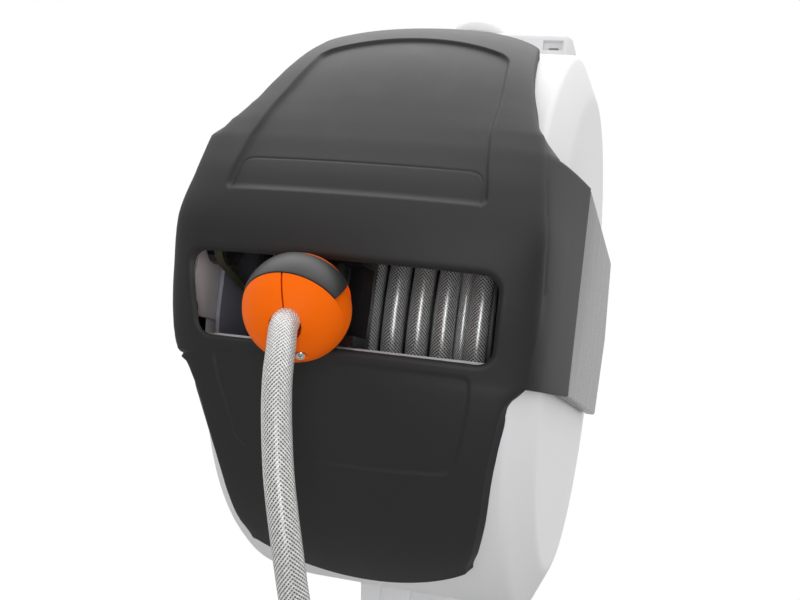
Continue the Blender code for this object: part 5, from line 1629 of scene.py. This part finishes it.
class HoseGuide:
    """The guide that lays the hose, its screw, rod, rollers and belt."""

    def make(self, bench: Bench) -> None:
        """Builds the guide's block and gives the pieces round it their finishes.

        Args:
            bench: The workbench.
        """
        guide = smoothed(cad_copy("hose_guide_block", "hose_guide"), 25.0)
        bench.finish(guide, "guide_black", Body.CARRIAGE, ["hose_guide"], "black_plastic")
        bench.keep("guide_black", "guide_screw", "left_guide_roller", "right_guide_roller")
        bench.keep("steel_pin", "guide_rod", "left_guide_roller_pin", "right_guide_roller_pin", "main_axle")
        bench.keep("frame_slate", "left_side_frame", "right_side_frame")
        bench.keep("belt_rubber", "guide_belt")
        bench.keep("case_white", "left_axle_socket")


# The ball stop and the hose


@dataclass
class BallStop:
    """The two halves of the ball stop, with the soft band over them and the clamp screw."""

    way: Vector
    centre: Vector = field(default_factory=lambda: AXLE + Vector((-0.015, -0.240, -0.018)))
    radius: float = 0.030
    bore: float = 0.0083
    edge: float = 0.00035
    seam: float = 0.0009
    seam_normal: Point3 = (0.965, 0.095, 0.242)
    band_axis: Point3 = (0.0, 0.682, 0.731)
    band_low: float = -0.0059
    band_high: float = 0.0150
    band_depth: float = 0.0035
    band_proud: float = 0.0005
    band_edge: float = 0.0004
    band_end: Point3 = (0.424, -0.4635, 0.779)
    scoop_radius: float = 0.0458
    mouth_way: Point3 = (0.1480, -0.8860, -0.4395)
    mouth: float = 0.010
    mouth_radius: float = 0.0088
    screw_place: Point3 = (0.0080, -0.0074, -0.0257)
    screw_way: Point3 = (0.25, -0.85, -0.46)
    screw_head: float = 0.0027
    shank: float = 0.0012
    shank_length: float = 0.0055
    pilot: float = 0.0014
    pocket: float = 0.0048
    pocket_reach: float = 0.012
    slab: float = 0.09

    def __post_init__(self) -> None:
        """Finds the place where the screw's head sits."""
        self.screw_base = self.centre + Vector(self.screw_place)

    def make(self, bench: Bench) -> None:
        """Builds the ball stop's pieces and hands them over.

        Args:
            bench: The workbench.
        """
        for side in Side:
            half = self.make_half(side)
            bench.finish(half, "ball_orange", Body.HOSE_END, [f"ball_{side.label}_half"], "orange_plastic")
        bench.finish(self.make_band(), "band_black", Body.HOSE_END, ["ball_band"], "satin_black")
        bench.finish(self.make_screw(), "steel_pin", Body.HOSE_END, ["ball_screw"], "steel")

    def wedge(self, name: str, normal: Vector, start: float) -> Piece:
        """A slab that covers everything behind a plane through the ball.

        Args:
            name: The slab's name.
            normal: The plane's normal.
            start: How far the plane stands from the ball's centre.

        Returns:
            The slab.
        """
        normal = normal.normalized()
        across = normal.orthogonal().normalized()
        beside = normal.cross(across)
        base = self.centre + normal * start
        outline = [tuple(base + (across * a + beside * b) * self.slab) for a, b in SQUARE]
        return prism(name, outline, normal * -self.slab)

    def arc_profile(self, radius: float, start: float, end: float, steps: int = 20) -> list[Point2]:
        """Profile points on a sphere about the ball's centre, between two heights."""
        heights = [start + (end - start) * i / steps for i in range(steps + 1)]
        return [(math.sqrt(radius**2 - height**2), height) for height in heights]

    def ring_segment(self, name: str, profile: list[Point2], floor: float) -> Piece:
        """A ring about the band's axis, cut down to the stretch over the ball's top.

        Args:
            name: The ring's name.
            profile: Its profile, as radii and heights.
            floor: How far the cuts stand from the ball's centre.

        Returns:
            The segment.
        """
        made = lathed(name, profile, self.centre, Vector(self.band_axis), 96)
        x, y, z = self.band_end
        for side in Side:
            carved(made, self.wedge("band_end", Vector((side.value * x, y, z)), floor))
        return made

    def scoop(self, side: Side) -> Piece:
        """The shallow scoop that carries the band's bed on past one of its ends, to be cut with.

        Args:
            side: Which end.

        Returns:
            The solid to cut with.
        """
        axis = Vector(self.band_axis).normalized()
        x, y, z = self.band_end
        out = axis.cross(Vector((-side.value * x, y, z))).normalized()
        out = out if out.x * side.value > 0 else -out
        slab = rod("scoop", 0.038, self.band_low - GAP, self.band_high + GAP, self.centre, axis, 96)
        away = self.scoop_radius - (self.radius - self.band_depth)
        return carved(slab, globe("scoop_core", self.scoop_radius, self.centre - out * away))

    def make_half(self, side: Side) -> Piece:
        """One half of the ball, with its band bed, scoops, bore, mouth and screw pocket.

        Args:
            side: Which half.

        Returns:
            The half.
        """
        half = globe(f"ball_half_{side.label}", self.radius, self.centre)
        carved(half, self.wedge("other_half", Vector(self.seam_normal) * side.value, self.seam / 2))
        low, high = self.band_low - GAP, self.band_high + GAP
        bed = [(0.045, high), (0.045, low), *self.arc_profile(self.radius - self.band_depth - GAP, low, high)]
        carved(half, self.ring_segment("band_bed", bed, -GAP))
        for end in Side:
            carved(half, self.scoop(end))
        inside = self.radius - self.mouth
        mouth_way, screw_way = Vector(self.mouth_way), Vector(self.screw_way)
        for name, radius, low, high, centre, way, steps in (
            ("hose_bore", self.bore, -0.04, inside + 0.002, self.centre, self.way, 64),
            ("hose_mouth", self.mouth_radius, inside, 0.040, self.centre, mouth_way, 64),
            ("screw_pocket", self.pocket, 0.0, self.pocket_reach, self.screw_base, screw_way, 48),
            ("screw_pilot", self.pilot, -self.shank_length - GAP, 0.001, self.screw_base, screw_way, 24),
        ):
            carved(half, rod(name, radius, low, high, centre, way, steps))
        return smoothed(bevelled(half, self.edge, 2, 30.0), 28.0)

    def make_band(self) -> Piece:
        """The soft band that lies in its bed over the ball.

        Returns:
            The band.
        """
        low, high = self.band_low, self.band_high
        outer = self.arc_profile(self.radius + self.band_proud, high, low)
        inner = self.arc_profile(self.radius - self.band_depth, low, high)
        band = self.ring_segment("soft_band", outer + inner, 0.0)
        return smoothed(bevelled(band, self.band_edge, 3, 35.0), 30.0)

    def make_screw(self) -> Piece:
        """The clamp screw, with a domed head and a crossed recess.

        Returns:
            The screw.
        """
        base, way = self.screw_base, Vector(self.screw_way).normalized()
        head, shank, length = self.screw_head, self.shank, self.shank_length
        profile = [
            (0.0, -length), (shank, -length), (shank, GAP), (head, GAP), (head, 0.0010),
            (head * 0.86, 0.0014), (head * 0.5, 0.0017), (0.0, 0.0018),
        ]
        screw = lathed("clamp_screw", profile, base, way, 48)
        across = way.orthogonal().normalized()
        for arm in (across, way.cross(across)):
            beside = way.cross(arm)
            middle = base + way * 0.0009
            outline = [tuple(middle + arm * a * 0.0014 + beside * b * 0.00032) for a, b in SQUARE]
            carved(screw, prism("cross_slot", outline, way * 0.002))
        return smoothed(screw, 35.0)


@dataclass
class HoseEnd:
    """The hose through the ball stop, the hanging run and its connector."""

    way: Vector = field(default_factory=lambda: Vector((0.176, -0.916, -0.358)).normalized())
    hose_radius: float = 0.0075
    stub_behind: float = 0.0620
    # The way from which the hanging hose's map, and so its painted yarn sheen, is counted.
    seen_from: Point3 = (0.454, -0.891, 0.0)
    bend: tuple[Point3, ...] = (
        (-0.0046, -0.2826, -0.0425), (-0.0013, -0.2904, -0.0560), (0.0021, -0.2950, -0.0712),
        (0.0058, -0.2978, -0.0872), (0.0099, -0.2997, -0.1040), (0.0144, -0.2998, -0.1212),
        (0.0186, -0.2980, -0.1384), (0.0219, -0.2941, -0.1551), (0.0247, -0.2887, -0.1713),
        (0.0260, -0.2852, -0.1893), (0.0267, -0.2817, -0.2093), (0.0271, -0.2792, -0.2313),
        (0.0273, -0.2779, -0.2573),
    )
    hang: Point2 = (0.0273, -0.2775)
    hang_heights: tuple[float, ...] = (
        -0.2873, -0.3233, -0.3633, -0.4033, -0.4433, -0.4833, -0.5233, -0.5613,
    )

    def __post_init__(self) -> None:
        """Makes the plan of the ball stop, and finds where the hose comes out in its mouth."""
        self.ball = BallStop(self.way)
        self.mouth_floor = self.ball.radius - self.ball.mouth

    def outward(self, _: Vector) -> Vector:
        """The way that the hose's map is counted from."""
        return Vector(self.seen_from)

    def along(self, reach: float) -> Vector:
        """The place at a reach from the ball's centre along the hose."""
        return self.ball.centre + self.way * reach

    def make_hose(self, bench: Bench) -> None:
        """Args:
            bench: The workbench.
        """
        points = [*self.bend, *((*self.hang, z) for z in self.hang_heights)]
        ends = [self.along(self.mouth_floor + GAP), self.along(self.mouth_floor + 2 * self.hose_radius)]
        path = smooth_route([*ends, *(AXLE + Vector(point) for point in points)], 180)
        hose = hose_mesh("hanging_hose", path, self.hose_radius, self.outward, 32)
        bench.finish(hose, "hose_hanging", Body.HOSE_END, ["free_hose"], "braided_hose")
        bench.keep("ball_orange", "connector_nut")
        bench.keep("connector_grey", "connector_body")

    def make(self, bench: Bench) -> None:
        """Builds the ball stop and the hose behind it.

        Args:
            bench: The workbench.
        """
        start, end = self.along(-self.stub_behind), self.along(self.mouth_floor)
        route = [start.lerp(end, i / 8) for i in range(9)]
        stub = hose_mesh("hose_in_ball", route, self.hose_radius, self.outward, 32)
        bench.finish(stub, "hose_hanging", Body.HOSE_END, ["hose_stub"], "braided_hose")
        self.ball.make(bench)
        bench.keep("drum_black", "hose_lead")


# The bracket and the small parts


@dataclass
class Bracket:
    """The wall plate, the two arms, the swivel pins, the water way and the pawl."""

    edge: float = 0.0010

    def make(self, bench: Bench) -> None:
        """Builds the bracket's pieces, and gives the small ones that stay their finishes.

        Args:
            bench: The workbench.
        """
        for node in ("wall_plate", "upper_arm", "lower_arm"):
            bench.finish(moulded(node, self.edge), "case_white", Body.BRACKET, [node], "white_plastic")
        bench.keep("steel_pin", "upper_swivel_pin", "lower_swivel_pin", "pawl", "pawl_pin")
        bench.keep("guide_black", "upper_bush", "lower_bush")
        bench.keep("turned_brass", "inlet_nipple", "water_joint")
        bench.keep("feed_rubber", "feed_tube")


def corners(box: tuple[Vector, Vector]) -> list[list[float]]:
    """A box's two corners as plain lists."""
    return [[round(float(value), 6) for value in corner] for corner in box]


def main() -> None:
    """Builds the scene in order: camera, hanging hose, studio, then each sub-assembly."""
    logging.basicConfig(level=logging.INFO, format="%(name)s: %(message)s")
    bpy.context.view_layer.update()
    PhotoCamera().make()
    bench = Bench(Palette())
    hose_end = HoseEnd()
    hose_end.make_hose(bench)
    Studio().make()
    for part in (FrontCover(), Case(), Drum(), HoseGuide(), hose_end, Bracket()):
        part.make(bench)


if __name__ == "__main__":
    main()
